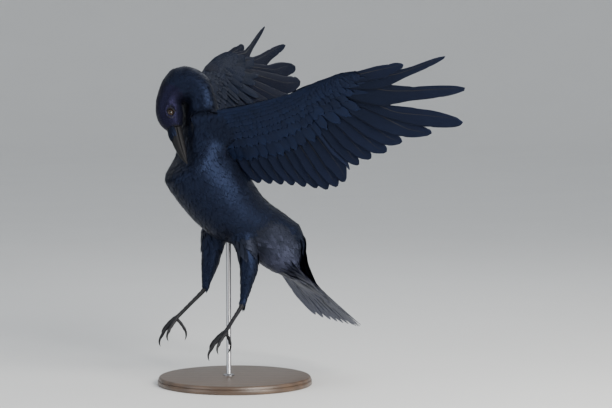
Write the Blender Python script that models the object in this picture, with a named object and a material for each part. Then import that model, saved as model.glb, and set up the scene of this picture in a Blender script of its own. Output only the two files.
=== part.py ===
"""Carrion crow, life size, braking in flight: body steep, wings raised and swept back, head bent down,
tail fanned and legs trailing, held by a rod on a round base.

Lengths below are millimetres; vertices are written in metres. +Z is up and the origin is the centre of
the base's underside. The bird faces -X and turns its left side towards -Y.
"""

import math

import bpy
from mathutils import Matrix, Vector

MM = 0.001
GAP = 0.3  # clear space between neighbouring pieces
TRIM_GAP = 0.5  # the same where a piece is cut to the body's slanting sides

# Directions of the whole bird.
HEADING = math.radians(25)  # turn of the bird from -X towards -Y
PITCH = math.radians(58)  # rise of the trunk's axis above the level
UP = Vector((0, 0, 1))
FORWARD = Vector((-math.cos(HEADING), -math.sin(HEADING), 0))
LEFT = Vector((math.sin(HEADING), -math.cos(HEADING), 0))
HEADWARD = FORWARD * math.cos(PITCH) + UP * math.sin(PITCH)
BELLYWARD = FORWARD * math.sin(PITCH) - UP * math.cos(PITCH)
VENT = Vector((5, 12, 229))  # where the trunk's axis starts

# Stations along the trunk's axis: distance from the vent, back line, belly line, half width.
TRUNK = (
    (-20, -70, 19, 35),
    (-2, -61, 34, 42),
    (18, -54, 45, 46),
    (45, -52, 53, 50),
    (75, -53, 58, 51),
    (100, -54, 60, 50),
    (112, -55, 60.5, 49.5),
    (118, -56, 56, 49),
    (123, -57, 44, 48.5),
    (129, -58, 31, 48),
    (140, -60, 18, 47.5),
    (165, -63, 0.5, 44.5),
)
NECK_BASE = ((166, -63, 0, 44), (182, -67, -14, 40))
BODY_SIDES = 24

# The neck bends round the throat, like a fan of rings about one point.
THROAT = (195, -19)  # distance along the trunk's axis, belly line
BILL_AXIS = Vector((0.28, -0.42, -0.863)).normalized()
CROWN_HINT = Vector((-0.94, -0.31, -0.11))
NECK_TURN = 153  # degrees from the back of the skull to the trunk
NECK_FAN = (
    (0, 40, 21),
    (22, 39, 21.5),
    (45, 41, 22.5),
    (65, 47, 25.5),
    (85, 56, 29),
    (105, 60, 32.5),
    (125, 59, 35.5),
    (142, 57, 38),
)
HEAD_CUT = 45  # degree of the fan where head and neck part
THROAT_ROOM = 1.5  # clear radius at the fan's centre

# Stations of the head: distance behind the bill's base, throat line, crown line, half width.
HEAD = (
    (0, -10.6, 11.4, 9.6),
    (3, -12.2, 13.8, 11.8),
    (8, -14.2, 17.0, 14.6),
    (14, -16.4, 19.4, 17.4),
    (21, -18.2, 20.6, 19.6),
    (28, -19.4, 20.6, 20.8),
)
SKULL = 34  # from the bill's base to the fan's first ring
SKULL_THROAT = -20

EYE_RADIUS = 6.4
EYE_BACK = 19.5  # behind the bill's base
EYE_RISE = 4.2
EYE_OUT = 13.5  # centre of the eyeball from the middle of the head

# Stations of the bill: distance ahead of its base, culmen, cutting edge, gonys, half width.
BILL = (
    (0.3, 9.6, -0.8, -9.6, 8.4),
    (8, 10.0, -0.4, -9.4, 7.9),
    (18, 9.6, 0.0, -8.8, 6.9),
    (28, 8.4, 0.0, -8.0, 5.8),
    (38, 6.2, -0.4, -6.8, 4.5),
    (46, 3.6, -1.2, -5.2, 3.2),
    (52, 0.8, -2.4, -3.8, 1.9),
)
# The end of each half: distance ahead of the base, cutting edge, ridge.
UPPER_END = (57, -3.9, -3.1)
LOWER_END = (54.8, -3.85, -4.35)
END_HALF_WIDTH = 0.5
LOWER_WIDTH = 0.93  # width of the lower half as a share of the upper's
BILL_SIDES = 12

# Stations of the tail coverts, in the bird's middle plane: belly point, back point, half width.
# Each point is (distance forward of the origin, height).
COVERTS = (
    ((-26, 183), (-104, 230), 34),
    ((-46, 169), (-113, 207), 34),
    ((-63, 159), (-111, 189), 31),
    ((-78, 151), (-107, 171), 25),
    ((-90, 144), (-105, 155), 16),
)
MIDDLE = Vector((0, 10, 0))  # a point of the bird's middle plane

TAIL_ROOT = Vector((42, 29, 207))
TAIL_AXIS = Vector((0.64, 0.352, -0.705)).normalized()
TAIL_SIDE = Vector((0.48, -0.875, 0.0))
TAIL_FEATHERS = 12
TAIL_SPREAD = math.radians(20)
TAIL_LENGTH = 197
TAIL_ROUNDING = 17  # how much shorter the outer feathers are
TAIL_ROUNDING_POWER = 2.2
TAIL_BASE_HALF = 11
TAIL_BASE_THICK = 3
TAIL_TAPER = 70  # how far down the tail its base thins out
TAIL_START = 6
TAIL_PARTING = 13  # from a feather's tip back to where it parts from its neighbours
TAIL_ARCH = 0.0016  # fall per square of the distance to either side
TAIL_BOW = 0.0003
TAIL_BOW_CENTRE = 60

# Wings: (u, v) runs from the shoulder along the span and from front to back.
LEFT_LEADING = ((-20, -21), (60, -23), (132, -30), (180, -43), (215, -48), (260, -47), (320, -42))
RIGHT_LEADING = ((-20, -21), (60, -31), (150, -44), (190, -44), (225, -39), (258, -30), (320, -10))
TRAILING = ((-20, 94), (0, 100), (56, 112), (93, 119), (131, 131), (150, 129), (168, 120), (186, 104))
WRIST = (130, -10)
WRIST_CUT = (176, 95)
HAND_END = 212
OUTER_PARTING = (-4, -2.6)  # the outermost feather's front edge: reach and angle from its other parting
SECONDARIES = 11
INNER_ROOT = -16  # where the innermost secondary starts on the leading edge
INNER_TIP = -8  # and on the trailing edge
SECONDARY_PARTING = 8  # from the trailing edge forwards to where two secondaries part
SECONDARY_LEAN = 0.55  # how far a tip lies outwards of its inner parting, as a share of its width
# Primaries from the outermost in: reach from the wrist, fan angle, then reach and angle of the point
# where the feather parts from the next one in.
LEFT_PRIMARIES = (
    (180, -11.5, 166, -9.6),
    (238, -8.2, 148, -2.6),
    (247, 5.2, 133, 10.2),
    (236, 16.6, 172, 21.0),
    (196, 24.4, 148, 28.8),
    (160, 32.4, 137, 37.0),
    (145, 41.5, 124, 46.0),
    (132, 50.6, 115, 55.2),
    (126, 59.4, 112, 63.4),
    (124, 66.5, 0, 0),
)
RIGHT_PRIMARIES = (
    (160, -7.0, 148, -4.6),
    (245, -4.4, 144, 0.8),
    (256, 5.2, 176, 9.6),
    (244, 13.4, 208, 17.4),
    (238, 21.2, 184, 26.0),
    (196, 29.5, 152, 34.6),
    (158, 40.0, 132, 45.2),
    (137, 50.2, 117, 55.2),
    (127, 59.4, 112, 63.4),
    (124, 66.5, 0, 0),
)
SHOULDER_OUT = 42
SHOULDER = (160, -32)  # along the trunk's axis, belly line
LEFT_SPAN = Vector((0.91, -0.40, 0.14)).normalized()
LEFT_CHORD = Vector((0.27, 0.48, -0.86))
RIGHT_SPAN = Vector((0.285, 0.87, 0.28)).normalized()
RIGHT_CHORD = Vector((0.62, 0.10, -0.77))
WING_DEPTH = 150  # chord that the wing's cross-section is drawn over
CAMBER = 20  # fall from the crest, for a whole chord
CREST = 0.35  # where on the chord the wing is highest
TIP_RISE = 18
HAND_SPAN = 270
ARM_FLESH = ((-20, 26), (20, 21), (70, 14), (130, 10), (205, 6), (245, 0))  # thickness along the span
VANE = 1.0  # thickness of a feathered edge
NORMAL_STEP = 0.5  # half the distance over which a plate's slope is measured

# Free feather tips: a long one narrows to a waist soon after it parts, and all end rounded.
LONG_TIP = 2.2  # free length over width, from which a feather has a waist
WAIST = 0.34  # how much narrower it gets
WAIST_END = 0.3  # the share of the free length by which it is that narrow
ROUNDNESS = 3.2
LONG_STEPS = 6
SHORT_STEPS = 3
# Rows of points from a plate's roots to its partings, as shares of the way; closer where it curves most.
HAND_ROWS = (0, 0.07, 0.2, 0.5, 1)
ARM_ROWS = (0, 0.05, 0.16, 0.36, 0.66, 1)
TAIL_ROWS = (0, 0.33, 0.66, 1)

# Legs: stations (x, y, z, half width, half depth).
RIGHT_THIGH = ((-30, 20, 222, 19, 21), (-33, 23, 200, 17, 18.5), (-36, 24, 178, 13.5, 14.5),
               (-40, 24, 158, 8.5, 9.5), (-42.5, 24, 143, 5.2, 5.6))
LEFT_THIGH = ((11, -8, 218, 17, 18), (18, -11, 195, 15.5, 17), (21, -13, 171, 13, 14.5),
              (17, -14, 145, 8, 9), (13, -14.5, 123, 4.8, 5.2))
RIGHT_TARSUS = ((-43, 24, 139.5, 4.0, 4.3), (-47, 23.5, 133, 3.0, 3.4), (-64, 21, 116, 2.4, 2.9),
                (-80, 18.5, 100, 2.7, 2.9), (-87, 17.5, 93.5, 5.2, 3.0))
LEFT_TARSUS = ((12, -15.5, 118.5, 4.0, 4.3), (9.5, -20, 114, 3.0, 3.4), (0.5, -36, 101, 2.4, 2.9),
               (-8.5, -52, 87.5, 2.7, 2.9), (-12, -58, 82.5, 5.2, 3.0))
RIGHT_TOES = Vector((-0.72, -0.12, -0.68)).normalized()
LEFT_TOES = Vector((-0.72, -0.32, -0.62)).normalized()
RIGHT_HALLUX = Vector((0.70, 0.10, -0.70)).normalized()
LEFT_HALLUX = Vector((0.42, 0.50, -0.76)).normalized()
# Front toes from the inner one out: sideways offset, splay in degrees, length, claw length.
FRONT_TOES = ((-6.2, -17, 23, 11.5), (0, 0, 33, 13), (6.2, 17, 24, 11))
HALLUX = (19, 15)  # length, claw length
TOE_CURL = 20  # degrees over a toe's length
CLAW_CURL = 58
TOE_THICK = 2.5
TOE_PADS = (1, 0.86, 0.93, 0.8, 0.86, 0.72)  # thickness along a toe, as shares of TOE_THICK
CLAW_TAPER = (0.68, 0.62, 0.5, 0.34)
CLAW_POINT = 0.32
TOE_DROP = 3.4  # from the ankle down to the middle toe's start
SIDE_TOE_RISE = 0.25  # rise of the outer toes' starts, per millimetre to the side
TOE_START = 1.0
HALLUX_BACK = 4.2
HALLUX_RISE = 1.0
KNEE_SWELL = 0.4  # how much wider the thigh ends than the tarsus starts
TOE_SIDES = 8
LEG_SIDES = 12

BASE_RADIUS = 112
BASE_THICK = 12
BASE_EDGE = 1.5
ROD_RADIUS = 3.5
ROD_PLACE = (-9, 4)
ROD_TOP = 214
ROUND_SIDES = 40

COLOURS = {
    "plumage": ((0.010, 0.011, 0.018), 0.45, 0.0),
    "tail_vane": ((0.030, 0.032, 0.048), 0.5, 0.0),
    "horn": ((0.012, 0.012, 0.013), 0.32, 0.0),
    "leg_scale": ((0.016, 0.016, 0.017), 0.5, 0.0),
    "eye": ((0.020, 0.011, 0.006), 0.05, 0.0),
    "stand_base": ((0.055, 0.050, 0.046), 0.4, 0.0),
    "stand_rod": ((0.30, 0.30, 0.31), 0.3, 1.0),
}


def clear_scene():
    for old in list(bpy.data.objects):
        bpy.data.objects.remove(old, do_unlink=True)


def material(name):
    colour, roughness, metallic = COLOURS[name]
    made = bpy.data.materials.get(name) or bpy.data.materials.new(name)
    made.use_nodes = True
    shader = made.node_tree.nodes["Principled BSDF"]
    shader.inputs["Base Color"].default_value = (*colour, 1)
    shader.inputs["Roughness"].default_value = roughness
    shader.inputs["Metallic"].default_value = metallic
    made.diffuse_color = (*colour, 1)
    return made


def solid(name, points, faces, finish):
    """An object from points in millimetres, with its faces turned outwards."""
    mesh = bpy.data.meshes.new(name)
    mesh.from_pydata([p * MM for p in points], [], faces)
    shape = bpy.data.objects.new(name, mesh)
    bpy.context.scene.collection.objects.link(shape)
    volume = sum(
        mesh.vertices[t.vertices[0]].co.dot(
            mesh.vertices[t.vertices[1]].co.cross(mesh.vertices[t.vertices[2]].co)
        )
        for t in triangles(mesh)
    )
    if volume < 0:
        mesh.flip_normals()
    mesh.materials.append(material(finish))
    mesh.shade_smooth()
    mesh.set_sharp_from_angle(angle=math.radians(40))
    return shape


def triangles(mesh):
    mesh.calc_loop_triangles()
    return mesh.loop_triangles


def curve_at(pairs, x):
    """Straight-line interpolation through (x, y) pairs."""
    for (x0, y0), (x1, y1) in zip(pairs, pairs[1:]):
        if x <= x1:
            return y0 + (y1 - y0) * max(0.0, (x - x0) / (x1 - x0))
    return pairs[-1][1]


# --- Lofted bodies -------------------------------------------------------------------------------


def ring(inner, outer, side, half_width, sides):
    """An ellipse from the inner to the outer point, half_width to either side."""
    centre = (inner + outer) / 2
    rise = (outer - inner) / 2
    across = side.normalized() * half_width
    turns = [2 * math.pi * i / sides for i in range(sides)]
    return [centre + rise * math.cos(t) + across * math.sin(t) for t in turns]


def loft(name, rings, finish):
    sides = len(rings[0])
    points = [p for one in rings for p in one]
    faces = [tuple(range(sides)), tuple(reversed(range(len(points) - sides, len(points))))]
    for row in range(len(rings) - 1):
        for i in range(sides):
            j = (i + 1) % sides
            a = row * sides
            faces.append((a + j, a + i, a + sides + i, a + sides + j))
    return solid(name, points, faces, finish)


def shifted(one, way):
    return [p + way for p in one]


def grown(one, extra):
    """The same ring with every point moved outwards by extra."""
    centre = sum(one, Vector()) / len(one)
    return [p + (p - centre).normalized() * extra for p in one]


def body_point(along, belly):
    return VENT + HEADWARD * along + BELLYWARD * belly


def trunk_rings(stations):
    return [
        ring(body_point(s, belly), body_point(s, back), LEFT, width, BODY_SIDES)
        for s, back, belly, width in stations
    ]


def covert_rings():
    def place(spot):
        return MIDDLE + FORWARD * spot[0] + UP * spot[1]

    rings = [
        ring(place(belly), place(back), LEFT, width, BODY_SIDES)
        for belly, back, width in COVERTS
    ]
    return list(reversed(rings))


def head_frame():
    """The bill's direction, the crown's direction, the left side, and the bill's base."""
    crown = (CROWN_HINT - BILL_AXIS * CROWN_HINT.dot(BILL_AXIS)).normalized()
    throat = body_point(*THROAT)
    base = throat - crown * SKULL_THROAT + BILL_AXIS * SKULL
    return BILL_AXIS, crown, crown.cross(BILL_AXIS), base


def fan_ring(degree, reach, width):
    """A ring of the bent neck, standing on the throat and reaching out to the nape."""
    _, crown, side, _ = head_frame()
    throat = body_point(*THROAT)
    back = -BELLYWARD
    raised = (back - crown * back.dot(crown)).normalized()
    angle = math.radians(degree)
    out = crown * math.cos(angle) + raised * math.sin(angle)
    across = side.lerp(LEFT, degree / NECK_TURN)
    across = (across - out * across.dot(out)).normalized()
    return ring(throat + out * THROAT_ROOM, throat + out * reach, across, width, BODY_SIDES)


def along_fan(degree):
    """The way that the fan's rings travel at this degree, from the head to the trunk."""
    _, reach, width = NECK_FAN[0]
    before = fan_ring(degree - 1, reach, width)
    after = fan_ring(degree + 1, reach, width)
    return (sum(after, Vector()) - sum(before, Vector())).normalized()


def head_rings():
    bill, crown, side, base = head_frame()
    rings = []
    for behind, throat, top, width in HEAD:
        spot = base - bill * behind
        rings.append(ring(spot + crown * throat, spot + crown * top, side, width, BODY_SIDES))
    rings += [fan_ring(*one) for one in NECK_FAN if one[0] <= HEAD_CUT]
    return rings


def neck_rings():
    rings = [fan_ring(*one) for one in NECK_FAN if one[0] >= HEAD_CUT]
    rings += reversed(trunk_rings(NECK_BASE))
    return rings


def make_body():
    """Head, neck, trunk and tail coverts: one shape parted by thin cuts."""
    half = GAP / 2
    head = head_rings()
    head[-1] = shifted(head[-1], along_fan(HEAD_CUT) * -half)
    loft("head", head, "plumage")
    neck = neck_rings()
    neck[0] = shifted(neck[0], along_fan(HEAD_CUT) * half)
    loft("neck", neck, "plumage")
    trunk = trunk_rings(TRUNK)
    trunk[-1] = shifted(neck[-1], HEADWARD * -GAP)
    loft("trunk", trunk, "plumage")
    coverts = covert_rings()
    coverts.append(shifted(trunk[0], HEADWARD * -GAP))
    loft("tail_coverts", coverts, "plumage")


def make_body_cutter():
    """The whole body a gap's width larger, to trim what grows out of it."""
    rings = covert_rings() + trunk_rings(TRUNK[:-1]) + list(reversed(neck_rings()))
    cutter = loft("body_cutter", [grown(one, TRIM_GAP) for one in rings], "plumage")
    hide_cutter(cutter)
    return cutter


def hide_cutter(cutter):
    cutter.hide_render = True
    cutter.display_type = "WIRE"


def cut(shape, cutter):
    trim = shape.modifiers.new("trim", "BOOLEAN")
    trim.operation = "DIFFERENCE"
    trim.object = cutter


# --- Head ----------------------------------------------------------------------------------------


def ball(name, centre, radius, finish, rows=8, sides=14):
    """A sphere drawn in rings, with its poles along Z."""
    points = [centre - UP * radius]
    for row in range(1, rows):
        fall = math.pi * row / rows
        for i in range(sides):
            turn = 2 * math.pi * i / sides
            flat = Vector((math.cos(turn), math.sin(turn), 0)) * math.sin(fall)
            points.append(centre + (flat - UP * math.cos(fall)) * radius)
    points.append(centre + UP * radius)
    faces = []
    for i in range(sides):
        j = (i + 1) % sides
        faces.append((0, 1 + j, 1 + i))
        last = 1 + (rows - 2) * sides
        faces.append((len(points) - 1, last + i, last + j))
        for row in range(rows - 2):
            a = 1 + row * sides
            faces.append((a + i, a + j, a + sides + j, a + sides + i))
    return solid(name, points, faces, finish)


def make_eyes():
    bill, crown, side, base = head_frame()
    head = bpy.data.objects["head"]
    for name, way in (("eye_left", 1), ("eye_right", -1)):
        centre = base - bill * EYE_BACK + crown * EYE_RISE + side * (way * EYE_OUT)
        ball(name, centre, EYE_RADIUS, "eye")
        socket = ball(name + "_socket", centre, EYE_RADIUS + GAP, "eye")
        hide_cutter(socket)
        cut(head, socket)


def bill_ring(spot, flat, tip, half_width, crown, side):
    """Half an ellipse from the flat cutting edge to the tip of the section, closed by the edge."""
    arc = BILL_SIDES - 1
    points = []
    for i in range(BILL_SIDES):
        turn = math.pi * i / arc
        points.append(
            spot
            + side * (half_width * math.cos(turn))
            + crown * (flat + (tip - flat) * math.sin(turn))
        )
    return points


def make_bill():
    bill, crown, side, base = head_frame()
    half = GAP / 2
    upper = []
    lower = []
    for ahead, culmen, edge, gonys, width in BILL:
        spot = base + bill * (ahead + half)
        upper.append(bill_ring(spot, edge + half, culmen, width, crown, side))
        lower.append(bill_ring(spot, edge - half, gonys, width * LOWER_WIDTH, crown, side))
    for rings, (ahead, edge, ridge) in ((upper, UPPER_END), (lower, LOWER_END)):
        rings.append(bill_ring(base + bill * ahead, edge, ridge, END_HALF_WIDTH, crown, side))
    loft("bill_upper", upper, "horn")
    loft("bill_lower", lower, "horn")


# --- Wings and tail ------------------------------------------------------------------------------


def between(a, b, t):
    return (a[0] + (b[0] - a[0]) * t, a[1] + (b[1] - a[1]) * t)


def feather_width(t, notch):
    """Half width along a free feather tip, as a share of its width where it parts from the next."""
    waist = 1 - notch * min(1.0, t / WAIST_END)
    return waist * math.sqrt(max(0.0, 1 - t**ROUNDNESS))


def fan_plate(name, roots, partings, tips, rows, limb, finish):
    """A plate of feathers side by side. Neighbours share an edge from the roots to the parting, and each
    ends in a free tip. All corners are (u, v) in the plane of the limb, a Wing or a Tail."""
    flat = []
    faces = []

    def add(spot):
        flat.append(spot)
        return len(flat) - 1

    edges = [[add(between(r, p, t)) for t in rows] for r, p in zip(roots, partings)]
    for i, tip in enumerate(tips):
        left, right = edges[i], edges[i + 1]
        middle = [add(between(flat[a], flat[b], 0.5)) for a, b in zip(left, right)]
        for j in range(len(rows) - 1):
            faces.append((left[j], middle[j], middle[j + 1], left[j + 1]))
            faces.append((middle[j], right[j], right[j + 1], middle[j + 1]))
        start = flat[middle[-1]]
        free = math.dist(start, tip)
        width = math.dist(partings[i], partings[i + 1])
        notch = WAIST if free > LONG_TIP * width else 0.0
        steps = LONG_STEPS if free > width else SHORT_STEPS
        last = (left[-1], middle[-1], right[-1])
        for k in range(1, steps):
            t = k / steps if notch else math.sin(math.pi / 2 * k / steps)
            spot = between(start, tip, t)
            share = feather_width(t, notch)
            sides = [
                add((spot[0] + (edge[0] - start[0]) * share, spot[1] + (edge[1] - start[1]) * share))
                for edge in (partings[i], partings[i + 1])
            ]
            row = (sides[0], add(spot), sides[1])
            faces.append((last[0], last[1], row[1], row[0]))
            faces.append((last[1], last[2], row[2], row[1]))
            last = row
        end = add(tip)
        faces.append((last[0], last[1], end))
        faces.append((last[1], last[2], end))
    return solid(name, *thicken(flat, faces, limb), finish)


def thicken(flat, faces, limb):
    """Both faces of a plate and the rim between them."""
    step = NORMAL_STEP
    points = []
    for sign in (1, -1):
        for u, v in flat:
            along = limb.surface(u + step, v) - limb.surface(u - step, v)
            across = limb.surface(u, v + step) - limb.surface(u, v - step)
            normal = along.cross(across).normalized()
            points.append(limb.surface(u, v) + normal * (sign * limb.thickness(u, v) / 2))
    count = len(flat)
    walked = {(f[i], f[(i + 1) % len(f)]) for f in faces for i in range(len(f))}
    rim = [(b, a, a + count, b + count) for a, b in sorted(walked) if (b, a) not in walked]
    under = [tuple(i + count for i in reversed(f)) for f in faces]
    return points, list(faces) + under + rim


class Wing:
    """One wing's own plane: where a point (u, v) lies and how thick the wing is there."""

    def __init__(self, shoulder, span, chord, leading):
        self.shoulder = shoulder
        self.span = span
        self.chord = (chord - span * chord.dot(span)).normalized()
        top = span.cross(self.chord)
        self.top = top if top.dot(UP) > 0 else -top
        self.leading = leading

    def front(self, u):
        return (u, curve_at(self.leading, u))

    def section(self, u, v):
        """How far back on the chord a point is, from 0 at the leading edge to 1."""
        return min(1.0, max(0.0, (v - self.front(u)[1]) / WING_DEPTH))

    def thickness(self, u, v):
        """An aerofoil's thickness over the chord, as deep as the flesh at this place along the span."""
        x = self.section(u, v)
        foil = 2.97 * math.sqrt(x) - 1.26 * x - 3.52 * x**2 + 2.84 * x**3 - 1.02 * x**4
        return VANE + curve_at(ARM_FLESH, u) * foil * math.sqrt(1 - x)

    def surface(self, u, v):
        beyond = max(0.0, (u - WRIST[0]) / HAND_SPAN)
        rise = TIP_RISE * beyond**2 - CAMBER * (self.section(u, v) - CREST) ** 2
        return self.shoulder + self.span * u + self.chord * v + self.top * rise

    def wrist_line(self, side):
        """The cut between arm and hand, moved half a gap towards the hand (1) or the arm (-1)."""
        (u0, v0), (u1, v1) = self.front(WRIST[0] + 1), WRIST_CUT
        length = math.hypot(u1 - u0, v1 - v0)
        du = side * GAP / 2 * (v1 - v0) / length
        dv = -side * GAP / 2 * (u1 - u0) / length
        return (u0 + du, v0 + dv), (u1 + du, v1 + dv)


def fan_spot(reach, degree):
    angle = math.radians(degree)
    return (WRIST[0] + reach * math.cos(angle), WRIST[1] + reach * math.sin(angle))


def make_hand(name, primaries, wing):
    root_end, parting_end = wing.wrist_line(1)
    count = len(primaries)
    roots = [wing.front(HAND_END + (root_end[0] - HAND_END) * i / count) for i in range(count)]
    first = fan_spot(primaries[0][2] + OUTER_PARTING[0], primaries[0][1] + OUTER_PARTING[1])
    partings = [first] + [fan_spot(p[2], p[3]) for p in primaries[:-1]]
    tips = [fan_spot(p[0], p[1]) for p in primaries]
    fan_plate(name, roots + [root_end], partings + [parting_end], tips, HAND_ROWS, wing, "plumage")


def make_arm(name, wing):
    root_start, parting_start = wing.wrist_line(-1)
    roots = [root_start]
    partings = [parting_start]
    tips = []
    for i in range(SECONDARIES):
        step = (i + 1) / SECONDARIES
        root_u = root_start[0] + (INNER_ROOT - root_start[0]) * step
        part_u = parting_start[0] + (INNER_TIP - parting_start[0]) * step
        tip_u = part_u + SECONDARY_LEAN * (parting_start[0] - INNER_TIP) / SECONDARIES
        roots.append(wing.front(root_u))
        partings.append((part_u, curve_at(TRAILING, part_u) - SECONDARY_PARTING))
        tips.append((tip_u, curve_at(TRAILING, tip_u)))
    return fan_plate(name, roots, partings, tips, ARM_ROWS, wing, "plumage")


def make_wings(cutter):
    middle = body_point(*SHOULDER)
    for side, out, span, chord, leading, primaries in (
        ("left", SHOULDER_OUT, LEFT_SPAN, LEFT_CHORD, LEFT_LEADING, LEFT_PRIMARIES),
        ("right", -SHOULDER_OUT, RIGHT_SPAN, RIGHT_CHORD, RIGHT_LEADING, RIGHT_PRIMARIES),
    ):
        wing = Wing(middle + LEFT * out, span, chord, leading)
        cut(make_arm(f"wing_{side}_arm", wing), cutter)
        make_hand(f"wing_{side}_hand", primaries, wing)


class Tail:
    """The tail's plane, a little arched across and bowed along."""

    side = (TAIL_SIDE - TAIL_AXIS * TAIL_SIDE.dot(TAIL_AXIS)).normalized()
    top = side.cross(TAIL_AXIS).normalized()

    def surface(self, u, v):
        arch = TAIL_ARCH * v**2 - TAIL_BOW * (u - TAIL_BOW_CENTRE) ** 2
        return TAIL_ROOT + TAIL_AXIS * u + self.side * v - self.top * arch

    def thickness(self, u, v):
        return VANE + TAIL_BASE_THICK * max(0.0, 1 - u / TAIL_TAPER)


def make_tail(cutter):
    """Twelve feathers fanned from one root, the outer ones a little shorter."""

    def spot(reach, share):
        angle = TAIL_SPREAD * share
        return (reach * math.cos(angle), reach * math.sin(angle) + TAIL_BASE_HALF * share)

    def length(share):
        return TAIL_LENGTH - TAIL_ROUNDING * abs(share) ** TAIL_ROUNDING_POWER

    shares = [1 - 2 * i / TAIL_FEATHERS for i in range(TAIL_FEATHERS + 1)]
    roots = [spot(TAIL_START, s) for s in shares]
    partings = [spot(length(s) - TAIL_PARTING, s) for s in shares]
    tips = [spot(length(s), s) for s in ((a + b) / 2 for a, b in zip(shares, shares[1:]))]
    cut(fan_plate("tail", roots, partings, tips, TAIL_ROWS, Tail(), "tail_vane"), cutter)


# --- Legs ----------------------------------------------------------------------------------------


def tube_rings(stations, side, sides, start=None, end=None):
    """Rings square to a path of (x, y, z, half width, half depth) stations. start and end are the ways
    that the first and last ring face, where the path alone doesn't say."""
    spots = [Vector(s[:3]) for s in stations]
    rings = []
    for i, (x, y, z, width, depth) in enumerate(stations):
        before = spots[max(i - 1, 0)]
        after = spots[min(i + 1, len(spots) - 1)]
        way = (after - before).normalized()
        if i == 0 and start:
            way = start
        if i == len(stations) - 1 and end:
            way = end
        across = (side - way * side.dot(way)).normalized()
        rise = way.cross(across) * depth
        rings.append(ring(spots[i] - rise, spots[i] + rise, across, width, sides))
    return rings


def bent_path(start, way, side, length, curl, radii):
    """Stations of a tapering digit that curls about side by curl degrees over its length."""
    steps = len(radii) - 1
    spot = start.copy()
    stations = [(*spot, radii[0], radii[0])]
    for i in range(steps):
        turn = Matrix.Rotation(math.radians(curl) * (i + 0.5) / steps, 3, side)
        spot = spot + (turn @ way) * (length / steps)
        stations.append((*spot, radii[i + 1], radii[i + 1]))
    finish = Matrix.Rotation(math.radians(curl), 3, side) @ way
    return stations, spot, finish


def make_digit(name, start, way, side, length, claw):
    toe = [TOE_THICK * share for share in TOE_PADS]
    stations, spot, finish = bent_path(start, way, side, length, TOE_CURL, toe)
    loft(f"toe_{name}", tube_rings(stations, side, TOE_SIDES, way, finish), "leg_scale")
    nail = [TOE_THICK * share for share in CLAW_TAPER] + [CLAW_POINT]
    stations, _, tip = bent_path(spot + finish * GAP, finish, side, claw, CLAW_CURL, nail)
    loft(f"claw_{name}", tube_rings(stations, side, TOE_SIDES, finish, tip), "horn")


def make_foot(side_name, tarsus, toes, hallux, outer):
    """Three toes ahead and the hallux behind, round the end of the tarsus."""
    ankle = Vector(tarsus[-1][:3])
    down = (ankle - Vector(tarsus[-2][:3])).normalized()
    side = (LEFT - toes * LEFT.dot(toes)).normalized() * outer
    curl_axis = side * outer
    for number, (offset, splay, length, claw) in zip("234", FRONT_TOES):
        angle = math.radians(splay)
        way = (toes * math.cos(angle) + side * math.sin(angle)).normalized()
        drop = TOE_DROP - abs(offset) * SIDE_TOE_RISE
        start = ankle + side * offset + down * drop + way * TOE_START
        make_digit(f"{side_name}_{number}", start, way, curl_axis, length, claw)
    back = (hallux - down * hallux.dot(down)).normalized()
    start = ankle + back * HALLUX_BACK - down * HALLUX_RISE
    make_digit(f"{side_name}_1", start, hallux, -curl_axis, *HALLUX)


def make_legs(cutter):
    for name, thigh, tarsus, toes, hallux, outer in (
        ("left", LEFT_THIGH, LEFT_TARSUS, LEFT_TOES, LEFT_HALLUX, 1),
        ("right", RIGHT_THIGH, RIGHT_TARSUS, RIGHT_TOES, RIGHT_HALLUX, -1),
    ):
        knee_way = (Vector(thigh[-1][:3]) - Vector(thigh[-2][:3])).normalized()
        shin_way = (Vector(tarsus[1][:3]) - Vector(tarsus[0][:3])).normalized()
        bend = (knee_way + shin_way).normalized()
        end = Vector(tarsus[0][:3]) - bend * GAP
        last = (*end, tarsus[0][3] + KNEE_SWELL, tarsus[0][4] + KNEE_SWELL)
        rings = tube_rings(thigh + (last,), LEFT, LEG_SIDES, None, bend)
        cut(loft(f"thigh_{name}", rings, "plumage"), cutter)
        loft(f"tarsus_{name}", tube_rings(tarsus, LEFT, LEG_SIDES, bend), "leg_scale")
        make_foot(name, tarsus, toes, hallux, outer)


# --- Stand ---------------------------------------------------------------------------------------


def turned(name, profile, place, finish):
    """A round solid from (radius, height) pairs, bottom to top."""
    centre = Vector((*place, 0))
    rings = []
    for radius, height in profile:
        turns = [2 * math.pi * i / ROUND_SIDES for i in range(ROUND_SIDES)]
        rings.append([
            centre + Vector((radius * math.cos(t), radius * math.sin(t), height)) for t in turns
        ])
    return loft(name, rings, finish)


def make_stand(cutter):
    base = (
        (BASE_RADIUS - BASE_EDGE / 2, 0),
        (BASE_RADIUS, BASE_EDGE / 2),
        (BASE_RADIUS, BASE_THICK - BASE_EDGE),
        (BASE_RADIUS - BASE_EDGE, BASE_THICK),
    )
    turned("stand_base", base, (0, 0), "stand_base")
    rod = ((ROD_RADIUS, BASE_THICK + GAP), (ROD_RADIUS, ROD_TOP))
    cut(turned("stand_rod", rod, ROD_PLACE, "stand_rod"), cutter)


def main():
    clear_scene()
    make_body()
    cutter = make_body_cutter()
    make_eyes()
    make_bill()
    make_wings(cutter)
    make_tail(cutter)
    make_legs(cutter)
    make_stand(cutter)


main()
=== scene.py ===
"""Carrion crow on a display stand: skin, feathers, bill, eyes, feet, stand, floor, lights and camera.

Lengths are millimetres unless a name says otherwise; meshes are written in metres. The first part
repeats the solid model's own driving sizes, so that each feather starts where the model has it.
"""

import itertools
import math

import bpy
import numpy as np
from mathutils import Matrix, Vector
from mathutils.bvhtree import BVHTree
from mathutils.kdtree import KDTree


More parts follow.
